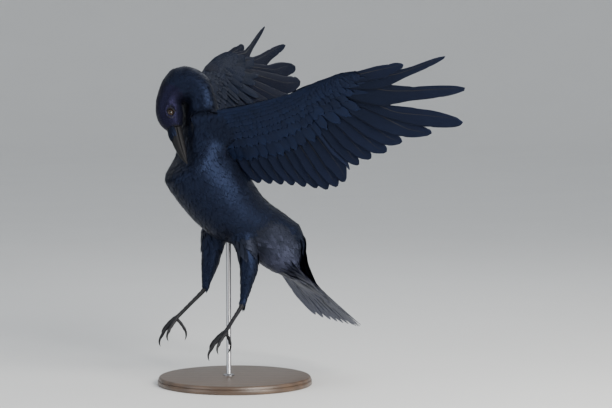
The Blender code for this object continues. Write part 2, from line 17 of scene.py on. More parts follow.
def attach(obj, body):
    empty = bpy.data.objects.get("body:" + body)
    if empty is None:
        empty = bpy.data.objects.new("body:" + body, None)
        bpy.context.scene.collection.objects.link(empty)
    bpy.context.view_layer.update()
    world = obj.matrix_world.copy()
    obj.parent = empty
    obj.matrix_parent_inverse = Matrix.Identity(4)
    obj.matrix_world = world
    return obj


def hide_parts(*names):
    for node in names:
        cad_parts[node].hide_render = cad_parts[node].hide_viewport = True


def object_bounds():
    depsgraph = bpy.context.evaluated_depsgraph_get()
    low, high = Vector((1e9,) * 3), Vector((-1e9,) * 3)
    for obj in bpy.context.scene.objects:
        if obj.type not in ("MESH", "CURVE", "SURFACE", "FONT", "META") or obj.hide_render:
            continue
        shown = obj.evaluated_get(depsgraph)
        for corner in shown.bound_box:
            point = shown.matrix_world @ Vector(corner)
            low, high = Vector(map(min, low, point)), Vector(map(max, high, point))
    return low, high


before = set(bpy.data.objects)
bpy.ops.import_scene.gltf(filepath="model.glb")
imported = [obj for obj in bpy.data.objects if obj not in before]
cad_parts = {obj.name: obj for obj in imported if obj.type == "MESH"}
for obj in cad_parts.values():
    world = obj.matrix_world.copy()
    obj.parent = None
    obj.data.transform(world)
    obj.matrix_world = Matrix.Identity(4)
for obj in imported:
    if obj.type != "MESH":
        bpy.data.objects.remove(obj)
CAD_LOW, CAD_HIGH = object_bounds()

MM = 0.001
SEED = 20


def vec(*numbers):
    return np.array(numbers, float)


def unit(a):
    return a / np.maximum(np.linalg.norm(a, axis=-1, keepdims=True), 1e-9)


def circle(count):
    """Angles evenly round a full turn."""
    return np.arange(count) * 2 * math.pi / count


# --- Sizes shared with the solids ----------------------------------------------------------------

HEADING = math.radians(25)
PITCH = math.radians(58)
UP = vec(0, 0, 1)
FORWARD = vec(-math.cos(HEADING), -math.sin(HEADING), 0)
LEFT = vec(math.sin(HEADING), -math.cos(HEADING), 0)
HEADWARD = FORWARD * math.cos(PITCH) + UP * math.sin(PITCH)
BELLYWARD = FORWARD * math.sin(PITCH) - UP * math.cos(PITCH)
VENT = vec(5, 12, 229)
MIDDLE = vec(0, 10, 0)

# Along the trunk from neck to vent: distance from the vent, back line, belly line, half width.
TRUNK = (
    (182, -67, -14, 40), (165, -63, 0.5, 44.5), (140, -60, 18, 47.5), (129, -58, 31, 48),
    (123, -57, 44, 48.5), (118, -56, 56, 49), (112, -55, 60.5, 49.5), (100, -54, 60, 50),
    (75, -53, 58, 51), (45, -52, 53, 50), (18, -54, 45, 46), (-2, -61, 34, 42), (-20, -70, 19, 35),
)
# The neck fans out from the throat: turn from the head's end, reach to the nape, half width.
THROAT = (195, -19)
NECK_TURN = 153
NECK_INNER = 1.5
NECK_FAN = (
    (0, 40, 21), (22, 39, 21.5), (45, 41, 22.5), (65, 47, 25.5),
    (85, 56, 29), (105, 60, 32.5), (125, 59, 35.5), (142, 57, 38),
)
# The head, back from the bill's base: distance, lower line, upper line, half width.
HEAD = (
    (0, -10.6, 11.4, 9.6), (3, -12.2, 13.8, 11.8), (8, -14.2, 17.0, 14.6),
    (14, -16.4, 19.4, 17.4), (21, -18.2, 20.6, 19.6), (28, -19.4, 20.6, 20.8),
)
BILL_AXIS = unit(vec(0.28, -0.42, -0.863))
CROWN_HINT = vec(-0.94, -0.31, -0.11)
SKULL = 34
SKULL_THROAT = -20
EYE_RADIUS = 6.4
EYE_BACK = 19.5
EYE_RISE = 4.2
EYE_OUT = 13.5
# The bill, forwards from its base: distance, culmen, cutting edge, lower line, half width.
BILL = (
    (0.3, 9.6, -0.8, -9.6, 8.4), (8, 10.0, -0.4, -9.4, 7.9), (18, 9.6, 0.0, -8.8, 6.9),
    (28, 8.4, 0.0, -8.0, 5.8), (38, 6.2, -0.4, -6.8, 4.5), (46, 3.6, -1.2, -5.2, 3.2),
    (52, 0.8, -2.4, -3.8, 1.9),
)
BILL_TIP = (57, -3.6)
BILL_GAP = 0.3
# The body's end: belly point, back point (each forwards and up), half width.
COVERTS = (
    ((-26, 183), (-104, 230), 34), ((-46, 169), (-113, 207), 34), ((-63, 159), (-111, 189), 31),
    ((-78, 151), (-107, 171), 25), ((-90, 144), (-105, 155), 16),
)
TAIL_ROOT = vec(42, 29, 207)
TAIL_AXIS = unit(vec(0.64, 0.352, -0.705))
TAIL_SIDE = vec(0.48, -0.875, 0.0)
TAIL_FEATHERS = 12
TAIL_SPREAD = math.radians(20)
TAIL_LENGTH = 197
TAIL_ROUNDING = 17
TAIL_BASE_HALF = 11
TAIL_ARCH = 0.0016
TAIL_BOW = 0.0003

# Wing outlines as (u, v): out along the wing, and back across it.
LEFT_LEADING = ((-20, -21), (60, -23), (132, -30), (180, -43), (215, -48), (260, -47), (320, -42))
RIGHT_LEADING = ((-20, -21), (60, -31), (150, -44), (190, -44), (225, -39), (258, -30), (320, -10))
TRAILING = ((-20, 94), (0, 100), (56, 112), (93, 119), (131, 131), (150, 129), (168, 120), (186, 104))
WRIST = (130, -10)
WRIST_CUT = (176, 95)
HAND_END = 212
SECONDARIES = 11
# Primaries from the outermost in: the tip's and the next parting's reach and angle from the wrist.
LEFT_PRIMARIES = (
    (180, -11.5, 166, -9.6), (238, -8.2, 148, -2.6), (247, 5.2, 133, 10.2), (236, 16.6, 172, 21.0),
    (196, 24.4, 148, 28.8), (160, 32.4, 137, 37.0), (145, 41.5, 124, 46.0), (132, 50.6, 115, 55.2),
    (126, 59.4, 112, 63.4), (124, 66.5, 0, 0),
)
RIGHT_PRIMARIES = (
    (160, -7.0, 148, -4.6), (245, -4.4, 144, 0.8), (256, 5.2, 176, 9.6), (244, 13.4, 208, 17.4),
    (238, 21.2, 184, 26.0), (196, 29.5, 152, 34.6), (158, 40.0, 132, 45.2), (137, 50.2, 117, 55.2),
    (127, 59.4, 112, 63.4), (124, 66.5, 0, 0),
)
SHOULDER_OUT = 42
SHOULDER = (160, -32)
LEFT_SPAN = unit(vec(0.91, -0.40, 0.14))
LEFT_CHORD = vec(0.27, 0.48, -0.86)
RIGHT_SPAN = unit(vec(0.285, 0.87, 0.28))
RIGHT_CHORD = vec(0.62, 0.10, -0.77)
WING_DEPTH = 150
CAMBER = 20
CREST = 0.35
TIP_RISE = 18
HAND_SPAN = 270
ARM_FLESH = ((-20, 26), (20, 21), (70, 14), (130, 10), (205, 6), (245, 0))
VANE = 1.0

# Legs as (x, y, z, half width, half depth) stations, from the body down.
LEFT_THIGH = ((11, -8, 218, 17, 18), (18, -11, 195, 15.5, 17), (21, -13, 171, 13, 14.5),
              (17, -14, 145, 8, 9), (13, -14.5, 123, 4.8, 5.2))
RIGHT_THIGH = ((-30, 20, 222, 19, 21), (-33, 23, 200, 17, 18.5), (-36, 24, 178, 13.5, 14.5),
               (-40, 24, 158, 8.5, 9.5), (-42.5, 24, 143, 5.2, 5.6))
LEFT_TARSUS = ((12, -15.5, 118.5, 4.0, 4.3), (9.5, -20, 114, 3.0, 3.4), (0.5, -36, 101, 2.4, 2.9),
               (-8.5, -52, 87.5, 2.7, 2.9), (-12, -58, 82.5, 5.2, 3.0))
RIGHT_TARSUS = ((-43, 24, 139.5, 4.0, 4.3), (-47, 23.5, 133, 3.0, 3.4), (-64, 21, 116, 2.4, 2.9),
                (-80, 18.5, 100, 2.7, 2.9), (-87, 17.5, 93.5, 5.2, 3.0))
LEGS = ((LEFT_THIGH, LEFT_TARSUS), (RIGHT_THIGH, RIGHT_TARSUS))
LEFT_TOES = unit(vec(-0.72, -0.32, -0.62))
RIGHT_TOES = unit(vec(-0.72, -0.12, -0.68))
LEFT_HALLUX = unit(vec(0.42, 0.50, -0.76))
RIGHT_HALLUX = unit(vec(0.70, 0.10, -0.70))
# Front toes: offset to the side, splay in degrees, length, claw.
FRONT_TOES = ((-6.2, -17, 23, 11.5), (0, 0, 33, 13), (6.2, 17, 24, 11))
HALLUX = (19, 15)
TOE_CURL = 20
CLAW_CURL = 58
TOE_THICK = 2.5
BASE_RADIUS = 112
BASE_THICK = 12
ROD_RADIUS = 3.5
ROD_PLACE = (-9, 4)
ROD_TOP = 214


def body_point(along, belly):
    return VENT + HEADWARD * along + BELLYWARD * belly


CROWN = unit(CROWN_HINT - BILL_AXIS * CROWN_HINT.dot(BILL_AXIS))
HEAD_LEFT = np.cross(CROWN, BILL_AXIS)
BILL_BASE = body_point(*THROAT) - CROWN * SKULL_THROAT + BILL_AXIS * SKULL
EYE_MIDDLE = BILL_BASE - BILL_AXIS * EYE_BACK + CROWN * EYE_RISE


def fan_axes(degree):
    """For a ring of the bent neck: the way out from the throat to the nape, and the way to the left."""
    raised = unit(-BELLYWARD - CROWN * (-BELLYWARD).dot(CROWN))
    angle = math.radians(degree)
    out = CROWN * math.cos(angle) + raised * math.sin(angle)
    share = degree / NECK_TURN
    across = HEAD_LEFT * (1 - share) + LEFT * share
    return out, unit(across - out * across.dot(out))


# --- Materials -----------------------------------------------------------------------------------

BLUE = (0.32, 0.46, 1.0)
VIOLET = (0.42, 0.38, 1.0)
SILVER = (0.60, 0.68, 1.0)
SHAFT_BLACK = (0.010, 0.010, 0.012)
SHAFT_HALF = 0.018
BARB_SLANT = 0.35
SHEEN = 0.006
# A Mix node's inputs for the factor and the two colours, and its output for the colour.
MIX_SHARE, MIX_A, MIX_B, MIX_COLOUR = 0, 6, 7, 2

# Feathers: hidden colour, shown colour, roughness, the gloss's tint and level, barbs down the vane,
# their relief, and how far a feather's own tone shifts it between the two colours.
FEATHERS = {
    "body_feather": ((0.003, 0.003, 0.005), (0.005, 0.007, 0.014), 0.42, BLUE, 0.24, 110.0, 0.12, 0.5),
    "head_feather": ((0.003, 0.003, 0.005), (0.005, 0.006, 0.013), 0.42, VIOLET, 0.22, 50.0, 0.12, 0.5),
    "upper_wing": ((0.003, 0.004, 0.008), (0.006, 0.009, 0.020), 0.42, BLUE, 0.10, 200.0, 0.16, 0.5),
    "under_wing": ((0.003, 0.004, 0.008), (0.006, 0.010, 0.026), 0.40, BLUE, 0.26, 200.0, 0.16, 0.5),
    "flight_above": ((0.004, 0.004, 0.007), (0.005, 0.007, 0.016), 0.44, BLUE, 0.10, 620.0, 0.28, 0.5),
    "flight_below": ((0.004, 0.005, 0.009), (0.007, 0.009, 0.020), 0.42, BLUE, 0.16, 620.0, 0.28, 0.5),
    "tail_above": ((0.004, 0.004, 0.007), (0.006, 0.007, 0.015), 0.38, VIOLET, 0.26, 560.0, 0.28, 0.5),
    # Tail feathers' underside: a little greyer than the upper side, with painted glare that makes both its
    # colours pale and silvery.
    "tail_below_glare": ((0.014, 0.016, 0.028), (0.060, 0.065, 0.098), 0.42, SILVER, 0.36, 560.0, 0.28, 1.3),
    # The vent's shown colour is painted glare: pale silvery grey on feathers that are dark.
    "vent_feather_glare": ((0.004, 0.005, 0.009), (0.046, 0.050, 0.082), 0.44, SILVER, 0.26, 150.0, 0.16, 1.7),
}
# Plain finishes: two colours, roughness, scale of the grain, its relief, and the gloss's level.
PLAIN = {
    "skin": ((0.003, 0.003, 0.004), (0.006, 0.006, 0.007), 0.6, 160.0, 0.35, 0.18),
    "rachis": ((0.008, 0.008, 0.009), (0.016, 0.015, 0.017), 0.34, 90.0, 0.1, 0.3),
    "horn": ((0.004, 0.004, 0.005), (0.008, 0.008, 0.009), 0.46, 120.0, 0.25, 0.13),
    "claw": ((0.004, 0.004, 0.005), (0.010, 0.010, 0.011), 0.32, 260.0, 0.12, 0.3),
    "leg_scale": ((0.007, 0.007, 0.009), (0.018, 0.018, 0.021), 0.42, 340.0, 0.35, 0.2),
    "floor": ((0.72, 0.72, 0.705), (0.76, 0.76, 0.745), 0.75, 3.0, 0.03, 0.5),
}


class Finish:
    """A Principled material and short calls that wire nodes into it."""

    def __init__(self, name, colour, roughness, **sockets):
        self.made = bpy.data.materials.new(name)
        self.made.use_nodes = True
        self.tree = self.made.node_tree
        self.shader = self.tree.nodes["Principled BSDF"]
        self.shader.inputs["Base Color"].default_value = (*colour, 1)
        self.shader.inputs["Roughness"].default_value = roughness
        for socket, value in sockets.items():
            self.shader.inputs[socket.replace("_", " ")].default_value = value
        self.made.diffuse_color = (*colour, 1)

    def node(self, kind, links=(), **settings):
        """links maps an input socket to a value or to another node's output."""
        made = self.tree.nodes.new(kind)
        for key, value in settings.items():
            setattr(made, key, value)
        for socket, value in dict(links).items():
            if isinstance(value, bpy.types.NodeSocket):
                self.tree.links.new(value, made.inputs[socket])
            else:
                made.inputs[socket].default_value = value
        return made

    def math(self, operation, *values, clamp=False):
        made = self.node("ShaderNodeMath", enumerate(values), operation=operation, use_clamp=clamp)
        return made.outputs[0]

    def centred(self, value, amount):
        """A value's distance from a half, times amount."""
        return self.math("MULTIPLY", self.math("SUBTRACT", value, 0.5), amount)

    def mix(self, share, a, b):
        """From colour a to colour b by share; each is a value or another node's output."""
        a, b = (x if isinstance(x, bpy.types.NodeSocket) else (*x, 1) for x in (a, b))
        made = self.node("ShaderNodeMix", {MIX_SHARE: share, MIX_A: a, MIX_B: b}, data_type="RGBA")
        return made.outputs[MIX_COLOUR]

    def place(self, scale=None):
        """The object's own coordinates, scaled along its axes if asked."""
        spot = self.node("ShaderNodeTexCoord").outputs["Object"]
        if scale:
            spot = self.node("ShaderNodeMapping", {"Vector": spot, "Scale": scale}).outputs[0]
        return spot

    def noise(self, scale, detail=3.0, where=None):
        sockets = {"Vector": where or self.place(), "Scale": scale, "Detail": detail}
        return self.node("ShaderNodeTexNoise", sockets).outputs["Fac"]

    def vane(self):
        """The spot in the vane: across it and along it."""
        spot = self.node("ShaderNodeUVMap", uv_map="Vane").outputs["UV"]
        parts = self.node("ShaderNodeSeparateXYZ", {0: spot})
        return spot, parts.outputs[0], parts.outputs[1]

    def put(self, socket, value):
        self.tree.links.new(value, self.shader.inputs[socket])

    def vary_roughness(self, by, amount, low):
        self.put("Roughness", self.math("MULTIPLY_ADD", by, amount, low))

    def bump(self, height, strength, distance):
        sockets = {"Strength": strength, "Distance": distance, "Height": height}
        self.put("Normal", self.node("ShaderNodeBump", sockets).outputs["Normal"])


def feather_finish(name, dull, bright, roughness, tint, gloss, barbs, relief, spread):
    """Feather vanes: dull at the hidden base, brighter at the tip, with barb lines off the shaft."""
    made = Finish(
        name, bright, roughness,
        Specular_IOR_Level=gloss, Specular_Tint=(*tint, 1), Sheen_Weight=SHEEN,
        Sheen_Roughness=0.4, Sheen_Tint=(*tint, 1),
    )
    _, across, along = made.vane()
    tone = made.node("ShaderNodeAttribute", attribute_name="tone").outputs["Fac"]
    off_shaft = made.math("ABSOLUTE", made.math("SUBTRACT", across, 0.5))
    # Barbs run outwards and forwards from the shaft.
    slant = made.math("SUBTRACT", made.math("MULTIPLY", along, barbs),
                      made.math("MULTIPLY", off_shaft, barbs * BARB_SLANT))
    wave = made.math("SINE", slant)
    shaft = made.math("LESS_THAN", off_shaft, SHAFT_HALF)
    patch = made.noise(55.0, 2.0)
    share = made.math("MULTIPLY_ADD", along, 0.9, -0.1, clamp=True)
    # A feather's tone moves it between its two colours; on the vent and the tail's underside this spreads
    # painted glare.
    share = made.math("ADD", share, made.centred(tone, spread))
    share = made.math("ADD", share, made.centred(patch, 0.6), clamp=True)
    colour = made.mix(share, dull, bright)
    colour = made.mix(made.math("MULTIPLY_ADD", wave, 0.12, 0.12), colour, dull)
    made.put("Base Color", made.mix(made.math("MULTIPLY", shaft, 0.5), colour, SHAFT_BLACK))
    made.vary_roughness(patch, 0.16, roughness - 0.08)
    made.bump(made.math("ADD", wave, made.math("MULTIPLY", shaft, 2.0)), relief, 0.00025)
    return made.made


def plain_finish(name, colour, other, roughness, scale, relief, gloss):
    """A finish that varies between two colours, with a fine grain in relief."""
    made = Finish(name, colour, roughness, Specular_IOR_Level=gloss)
    made.put("Base Color", made.mix(made.noise(scale, 4.0), colour, other))
    made.vary_roughness(made.noise(scale * 2.3, 3.0), 0.2, roughness - 0.1)
    made.bump(made.noise(scale * 9, 5.0), relief, 0.0004)
    return made.made


def eye_finish():
    """Dark brown iris round a black pupil, by the distance from the eye's axis in its UV map."""
    made = Finish("eye", (0.01, 0.006, 0.004), 0.05, Specular_IOR_Level=0.28)
    spot, _, out = made.vane()
    iris = made.mix(made.noise(60.0, 2.0, spot), (0.010, 0.005, 0.0025), (0.030, 0.014, 0.006))
    edge, rim = (made.node("ShaderNodeMapRange", {0: out, 1: start, 2: end}).outputs[0]
                 for start, end in ((0.42, 0.46), (0.80, 0.95)))
    colour = made.mix(edge, (0.002, 0.002, 0.002), iris)
    made.put("Base Color", made.mix(rim, colour, (0.004, 0.003, 0.003)))
    return made.made


def wood_finish():
    """Dark stained wood, with rings stretched along X."""
    made = Finish("stand_wood", (0.07, 0.05, 0.04), 0.4, Coat_Weight=0.25, Coat_Roughness=0.3)
    place = made.place((2.0, 26.0, 26.0))
    warp = made.noise(1.6, 4.0, place)
    waves = {"Vector": place, "Scale": 0.55, "Distortion": 5.0, "Detail": 4.0, "Detail Scale": 1.4}
    grain = made.node("ShaderNodeTexWave", waves, bands_direction="Y").outputs["Fac"]
    pores = made.noise(38.0, 2.0, place)
    share = made.math("MULTIPLY", made.math("ADD", grain, warp), 0.5)
    colour = made.mix(share, (0.055, 0.034, 0.022), (0.125, 0.078, 0.048))
    made.put("Base Color", made.mix(made.math("MULTIPLY", pores, 0.5), colour, (0.035, 0.022, 0.015)))
    made.vary_roughness(pores, 0.2, 0.3)
    made.bump(made.math("ADD", pores, grain), 0.12, 0.0003)
    return made.made


def steel_finish():
    """Brushed steel, with fine turned lines round the rod."""
    made = Finish("stand_steel", (0.36, 0.36, 0.37), 0.32, Metallic=1.0)
    lines = made.noise(1.0, 3.0, made.place((6.0, 6.0, 900.0)))
    made.vary_roughness(lines, 0.25, 0.2)
    made.put("Base Color", made.mix(lines, (0.30, 0.30, 0.31), (0.42, 0.42, 0.43)))
    made.bump(lines, 0.1, 0.0001)
    return made.made


MATERIALS = {name: feather_finish(name, *row) for name, row in FEATHERS.items()}
MATERIALS.update({name: plain_finish(name, *row) for name, row in PLAIN.items()})
MATERIALS.update(eye=eye_finish(), stand_wood=wood_finish(), stand_steel=steel_finish())


# --- Meshes --------------------------------------------------------------------------------------


def add_mesh(name, points, faces, finish, maps=None, tones=None, picks=None, replaces=()):
    """A piece that rides on the root body. points are in millimetres; maps are UV maps by name, with one
    spot for each point; picks is each face's finish."""
    mesh = bpy.data.meshes.new(name)
    mesh.from_pydata(np.asarray(points) * MM, [], [list(map(int, f)) for f in faces])
    corners = np.empty(len(mesh.loops), np.int32)
    mesh.loops.foreach_get("vertex_index", corners)
    for key, spots in (maps or {}).items():
        layer = mesh.uv_layers.new(name=key)
        layer.data.foreach_set("uv", np.asarray(spots, np.float32)[corners].ravel())
    if tones is not None:
        layer = mesh.attributes.new("tone", "FLOAT", "POINT")
        layer.data.foreach_set("value", np.asarray(tones, np.float32))
    for one in finish if isinstance(finish, tuple) else (finish,):
        mesh.materials.append(one)
    if picks is not None:
        mesh.polygons.foreach_set("material_index", np.asarray(picks, np.int32))
    mesh.shade_smooth()
    mesh.update()
    piece = bpy.data.objects.new(name, mesh)
    bpy.context.scene.collection.objects.link(piece)
    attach(piece, "root")
    if replaces:
        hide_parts(*replaces)
    return piece


def grid_faces(rows, columns, closed=False):
    """Quads of a grid of points, row by row; closed joins the last column to the first."""
    here = np.arange(columns if closed else columns - 1)
    after = (here + 1) % columns
    row = np.arange(rows - 1)[:, None] * columns
    below = row + columns
    return np.stack([row + here, row + after, below + after, below + here], -1).reshape(-1, 4)


def repeated(faces, size, count):
    """The same faces for count copies of a block of size points."""
    return (faces[None] + np.arange(count)[:, None, None] * size).reshape(-1, faces.shape[1])


def merged(shells):
    """Several (points, faces) as one."""
    points, faces, base = [], [], 0
    for spots, quads in shells:
        points.append(spots)
        faces += [tuple(int(i) + base for i in one) for one in quads]
        base += len(spots)
    return np.vstack(points), faces


def sheet(x, y):
    """A grid of (x, y) spots, a row for each y."""
    return np.stack(np.broadcast_arrays(x[None, :], y[:, None]), -1)


def curve(pairs, x):
    pairs = np.asarray(pairs, float)
    return np.interp(x, pairs[:, 0], pairs[:, 1])


def smooth_table(table, count):
    """count rows read from a smooth curve through a table's rows."""
    table = np.asarray(table, float)
    ends = np.vstack([2 * table[0] - table[1], table, 2 * table[-1] - table[-2]])
    rows = []
    for x in np.linspace(0, len(table) - 1, count):
        i = min(int(x), len(table) - 2)
        t = x - i
        a, b, c, d = ends[i:i + 4]
        rows.append(0.5 * (2 * b + (c - a) * t + (2 * a - 5 * b + 4 * c - d) * t**2
                           + (3 * b - a - 3 * c + d) * t**3))
    return np.array(rows)


def smoothed(line, times):
    """Evens out a line of points or numbers in place; its ends stay."""
    for _ in range(times):
        line[1:-1] = (line[:-2] + 2 * line[1:-1] + line[2:]) / 4


def down_shaft(rows):
    """Shares of a feather's length from its root, closer together towards the tip."""
    return 1 - (1 - np.linspace(0, 1, rows)) ** 1.5


def rounds(spots, first, second, wide, deep, sides):
    """A ring of points round each spot, wide along first and deep along second."""
    turns = circle(sides)
    return (spots[:, None]
            + first[:, None] * (np.sin(turns)[None] * wide[:, None])[..., None]
            + second[:, None] * (np.cos(turns)[None] * deep[:, None])[..., None])


def tube(stations, side, count, sides, depth=0.0, start=None, end=None):
    """Rings square to a smooth path through (x, y, z, half width, half depth) stations. Returns the
    rings, the path and its direction."""
    rows = smooth_table(stations, count)
    spots = rows[:, :3]
    ways = np.gradient(spots, axis=0)
    if start is not None:
        ways[0] = start
    if end is not None:
        ways[-1] = end
    ways = unit(ways)
    across = unit(side - ways * (ways @ side)[:, None])
    wide, deep = (np.maximum(rows[:, k] - depth, 0.3) for k in (3, 4))
    return rounds(spots, across, np.cross(ways, across), wide, deep, sides), spots, ways


def closed_loft(rings):
    """Points and faces of a stack of rings, closed at both ends by a fan."""
    rows, columns = rings.shape[:2]
    points = np.vstack([rings.reshape(-1, 3), rings[0].mean(0), rings[-1].mean(0)])
    faces = [tuple(f) for f in grid_faces(rows, columns, True)]
    first, last = rows * columns, rows * columns + 1
    for c in range(columns):
        d = (c + 1) % columns
        faces.append((first, d, c))
        faces.append((last, (rows - 1) * columns + c, (rows - 1) * columns + d))
    return points, faces


# --- Body shape: one chain of rings from the bill's base to the end of the tail coverts ----------

# By ring: coat depth, spacing of feathers, their length, and width as a share of length.
COAT = np.array((
    (0, 0.5, 1.2, 4.0, 0.42), (2, 0.8, 1.35, 5.2, 0.42), (5, 1.3, 1.7, 8.0, 0.40),
    (8, 2.2, 2.3, 12.0, 0.38), (11, 3.2, 2.9, 17.0, 0.36), (15, 3.8, 3.3, 22.0, 0.38),
    (20, 4.4, 3.7, 26.0, 0.38), (24, 4.4, 3.8, 28.0, 0.37), (27, 4.4, 4.1, 33.0, 0.33),
    (30, 4.0, 4.5, 40.0, 0.28),
))
DEPTH, SPACING, LENGTH, WIDTH_SHARE = 1, 2, 3, 4
AROUND = 96


def coat(ring, column):
    return np.interp(ring, COAT[:, 0], COAT[:, column])


def body_rings():
    """Every ring of the body, inside the feathers' outline by the coat's depth."""
    throat = body_point(*THROAT)
    ends = []
    for behind, low, high, width in HEAD:
        spot = BILL_BASE - BILL_AXIS * behind
        ends.append((spot + CROWN * low, spot + CROWN * high, HEAD_LEFT, width))
    for degree, reach, width in NECK_FAN:
        out, across = fan_axes(degree)
        ends.append((throat + out * NECK_INNER, throat + out * reach, across, width))
    for along, back, belly, width in TRUNK:
        ends.append((body_point(along, belly), body_point(along, back), LEFT, width))
    for belly, back, width in COVERTS:
        low, high = (MIDDLE + FORWARD * spot[0] + UP * spot[1] for spot in (belly, back))
        ends.append((low, high, LEFT, width))
    turns = circle(AROUND)
    rings = []
    for k, (low, high, across, width) in enumerate(ends):
        depth = coat(k, DEPTH)
        rise = unit(high - low)
        inner, outer = low + rise * depth, high - rise * depth
        rings.append((inner + outer) / 2 + np.outer(np.cos(turns), (outer - inner) / 2)
                     + np.outer(np.sin(turns), unit(across) * (width - depth)))
    return np.array(rings)


# --- Limbs that carry flight feathers ------------------------------------------------------------

NORMAL_STEP = 0.5
FIRST_SECONDARY = WRIST[0] + 1
INNER_ROOT = -16
INNER_PARTING = -8
TIP_LEAN = 0.55


def around_wrist(reach, degree):
    angle = math.radians(degree)
    return vec(WRIST[0] + reach * math.cos(angle), WRIST[1] + reach * math.sin(angle))


class Limb:
    """A surface in (u, v), along the limb and across it, with a thickness."""

    def normal(self, u, v):
        along = self.surface(u + NORMAL_STEP, v) - self.surface(u - NORMAL_STEP, v)
        across = self.surface(u, v + NORMAL_STEP) - self.surface(u, v - NORMAL_STEP)
        return unit(np.cross(along, across)) * self.facing


class Wing(Limb):
    def __init__(self, side, out, span, chord, leading, primaries):
        self.name = side
        self.shoulder = body_point(*SHOULDER) + LEFT * out
        self.span = span
        self.chord = unit(chord - span * chord.dot(span))
        top = np.cross(span, self.chord)
        self.facing = 1.0 if top[2] > 0 else -1.0
        self.top = top * self.facing
        self.leading = leading
        self.primaries = primaries

    def local(self, points):
        """How far out along the wing points are, and how far back across it."""
        gap = points - self.shoulder
        return gap @ self.span, gap @ self.chord

    def front(self, u):
        return curve(self.leading, u)

    def section(self, u, v):
        return np.clip((v - self.front(u)) / WING_DEPTH, 0, 1)

    def thickness(self, u, v):
        x = self.section(u, v)
        foil = 2.97 * np.sqrt(x) - 1.26 * x - 3.52 * x**2 + 2.84 * x**3 - 1.02 * x**4
        return VANE + curve(ARM_FLESH, u) * foil * np.sqrt(np.maximum(0, 1 - x))

    def surface(self, u, v):
        beyond = np.maximum(0, (u - WRIST[0]) / HAND_SPAN)
        rise = TIP_RISE * beyond**2 - CAMBER * (self.section(u, v) - CREST) ** 2
        return (self.shoulder + self.span * np.asarray(u)[..., None]
                + self.chord * np.asarray(v)[..., None] + self.top * np.asarray(rise)[..., None])

    def feathers(self):
        """Each flight feather from the outermost in: root, leading and trailing parting, tip."""
        cut = vec(*WRIST_CUT)
        count = len(self.primaries)
        partings = [around_wrist(self.primaries[0][2] - 4, self.primaries[0][1] - 2.6)]
        partings += [around_wrist(p[2], p[3]) for p in self.primaries[:-1]] + [cut]
        found = []
        for i, (reach, degree, _, _) in enumerate(self.primaries):
            u = HAND_END + (FIRST_SECONDARY - HAND_END) * (i + 0.5) / count
            root = vec(u, self.front(u) + 7)
            found.append((root, partings[i], partings[i + 1], around_wrist(reach, degree)))
        last = cut
        for i in range(SECONDARIES):
            part_u = WRIST_CUT[0] + (INNER_PARTING - WRIST_CUT[0]) * ((i + 1) / SECONDARIES)
            parting = vec(part_u, curve(TRAILING, part_u) - 8)
            tip_u = part_u + TIP_LEAN * (WRIST_CUT[0] - INNER_PARTING) / SECONDARIES
            u = FIRST_SECONDARY + (INNER_ROOT - FIRST_SECONDARY) * (i + 0.5) / SECONDARIES
            root = vec(u, self.front(u) + 12)
            found.append((root, last, parting, vec(tip_u, curve(TRAILING, tip_u))))
            last = parting
        return found


class Tail(Limb):
    side = unit(TAIL_SIDE - TAIL_AXIS * TAIL_SIDE.dot(TAIL_AXIS))
    top = unit(np.cross(side, TAIL_AXIS))
    facing = 1.0 if np.cross(TAIL_AXIS, side).dot(top) > 0 else -1.0

    def surface(self, u, v):
        u, v = np.asarray(u, float), np.asarray(v, float)
        arch = TAIL_ARCH * v**2 - TAIL_BOW * (u - 60) ** 2
        return (TAIL_ROOT + TAIL_AXIS * u[..., None] + self.side * v[..., None]
                - self.top * arch[..., None])

    def feathers(self):
        def spot(reach, share):
            angle = TAIL_SPREAD * share
            return vec(reach * math.cos(angle), reach * math.sin(angle) + TAIL_BASE_HALF * share)

        def length(share):
            return TAIL_LENGTH - TAIL_ROUNDING * abs(share) ** 2.2

        shares = [1 - 2 * i / TAIL_FEATHERS for i in range(TAIL_FEATHERS + 1)]
        found = []
        for a, b in zip(shares, shares[1:]):
            middle = (a + b) / 2
            found.append((spot(6, middle), spot(length(a) - 13, a), spot(length(b) - 13, b),
                          spot(length(middle), middle)))
        return found


# --- Vanes ---------------------------------------------------------------------------------------

# Flight feathers. A long one is notched beyond its parting; its shaft lies ahead of its middle.
LONG_FREE = 2.2
NOTCH = 0.34
NOTCH_LENGTH = 0.3
BASE_WIDTH = 0.22
TIP_POWER = 3.2
TIP_REACH = 0.985
SHAFT_AHEAD = 0.34
FRONT_LAP = 0.35
NICK_PLACE = (0.35, 0.97)
NICK_DEPTH = (0.04, 0.16)
NICK_WIDTH = 0.012
CURL = 0.006
STRAY_TIP = 0.5
# How far the middle feathers lie above the outer ones, each one's roll, and how far it runs beneath the next.
WING_LAY = (0.0, 1.1, 7.0)
TAIL_LAY = (1.6, 0.0, 6.0)
VANE_THICK = 0.22
VANE_ROOT_EXTRA = 0.25
# Shafts: radius at the root beyond that at the tip, and how much of it shows out of and across the vane.
SHAFT_SIDES = 6
SHAFT_ROOT = 1.05
SHAFT_TIP = 0.12
SHAFT_HIGH = 0.62
SHAFT_WIDE = 0.7
# Room on the baked map: the strip of one vane's face, the gap beside it, and a strip's two ends.
STRIP = 0.42
STRIP_GAP = 0.04
STRIP_ENDS = (0.02, 0.98)
COAT_PATCH = 0.003
# Small feathers: width at the root as a share of the whole, and how far down they are widest.
ROOT_SHARE = 0.42
WIDEST = 0.62
# Where a feather starts to narrow, how sharply, and how wide its last row is.
ROUND_TIP = (0.62, 0.5, 0.3)
BODY_TIP = (0.5, 0.85, 0.1)
BRISTLE_TIP = (0.62, 0.5, 0.1)
ALULA_TIP = (0.62, 0.5, 0.45)


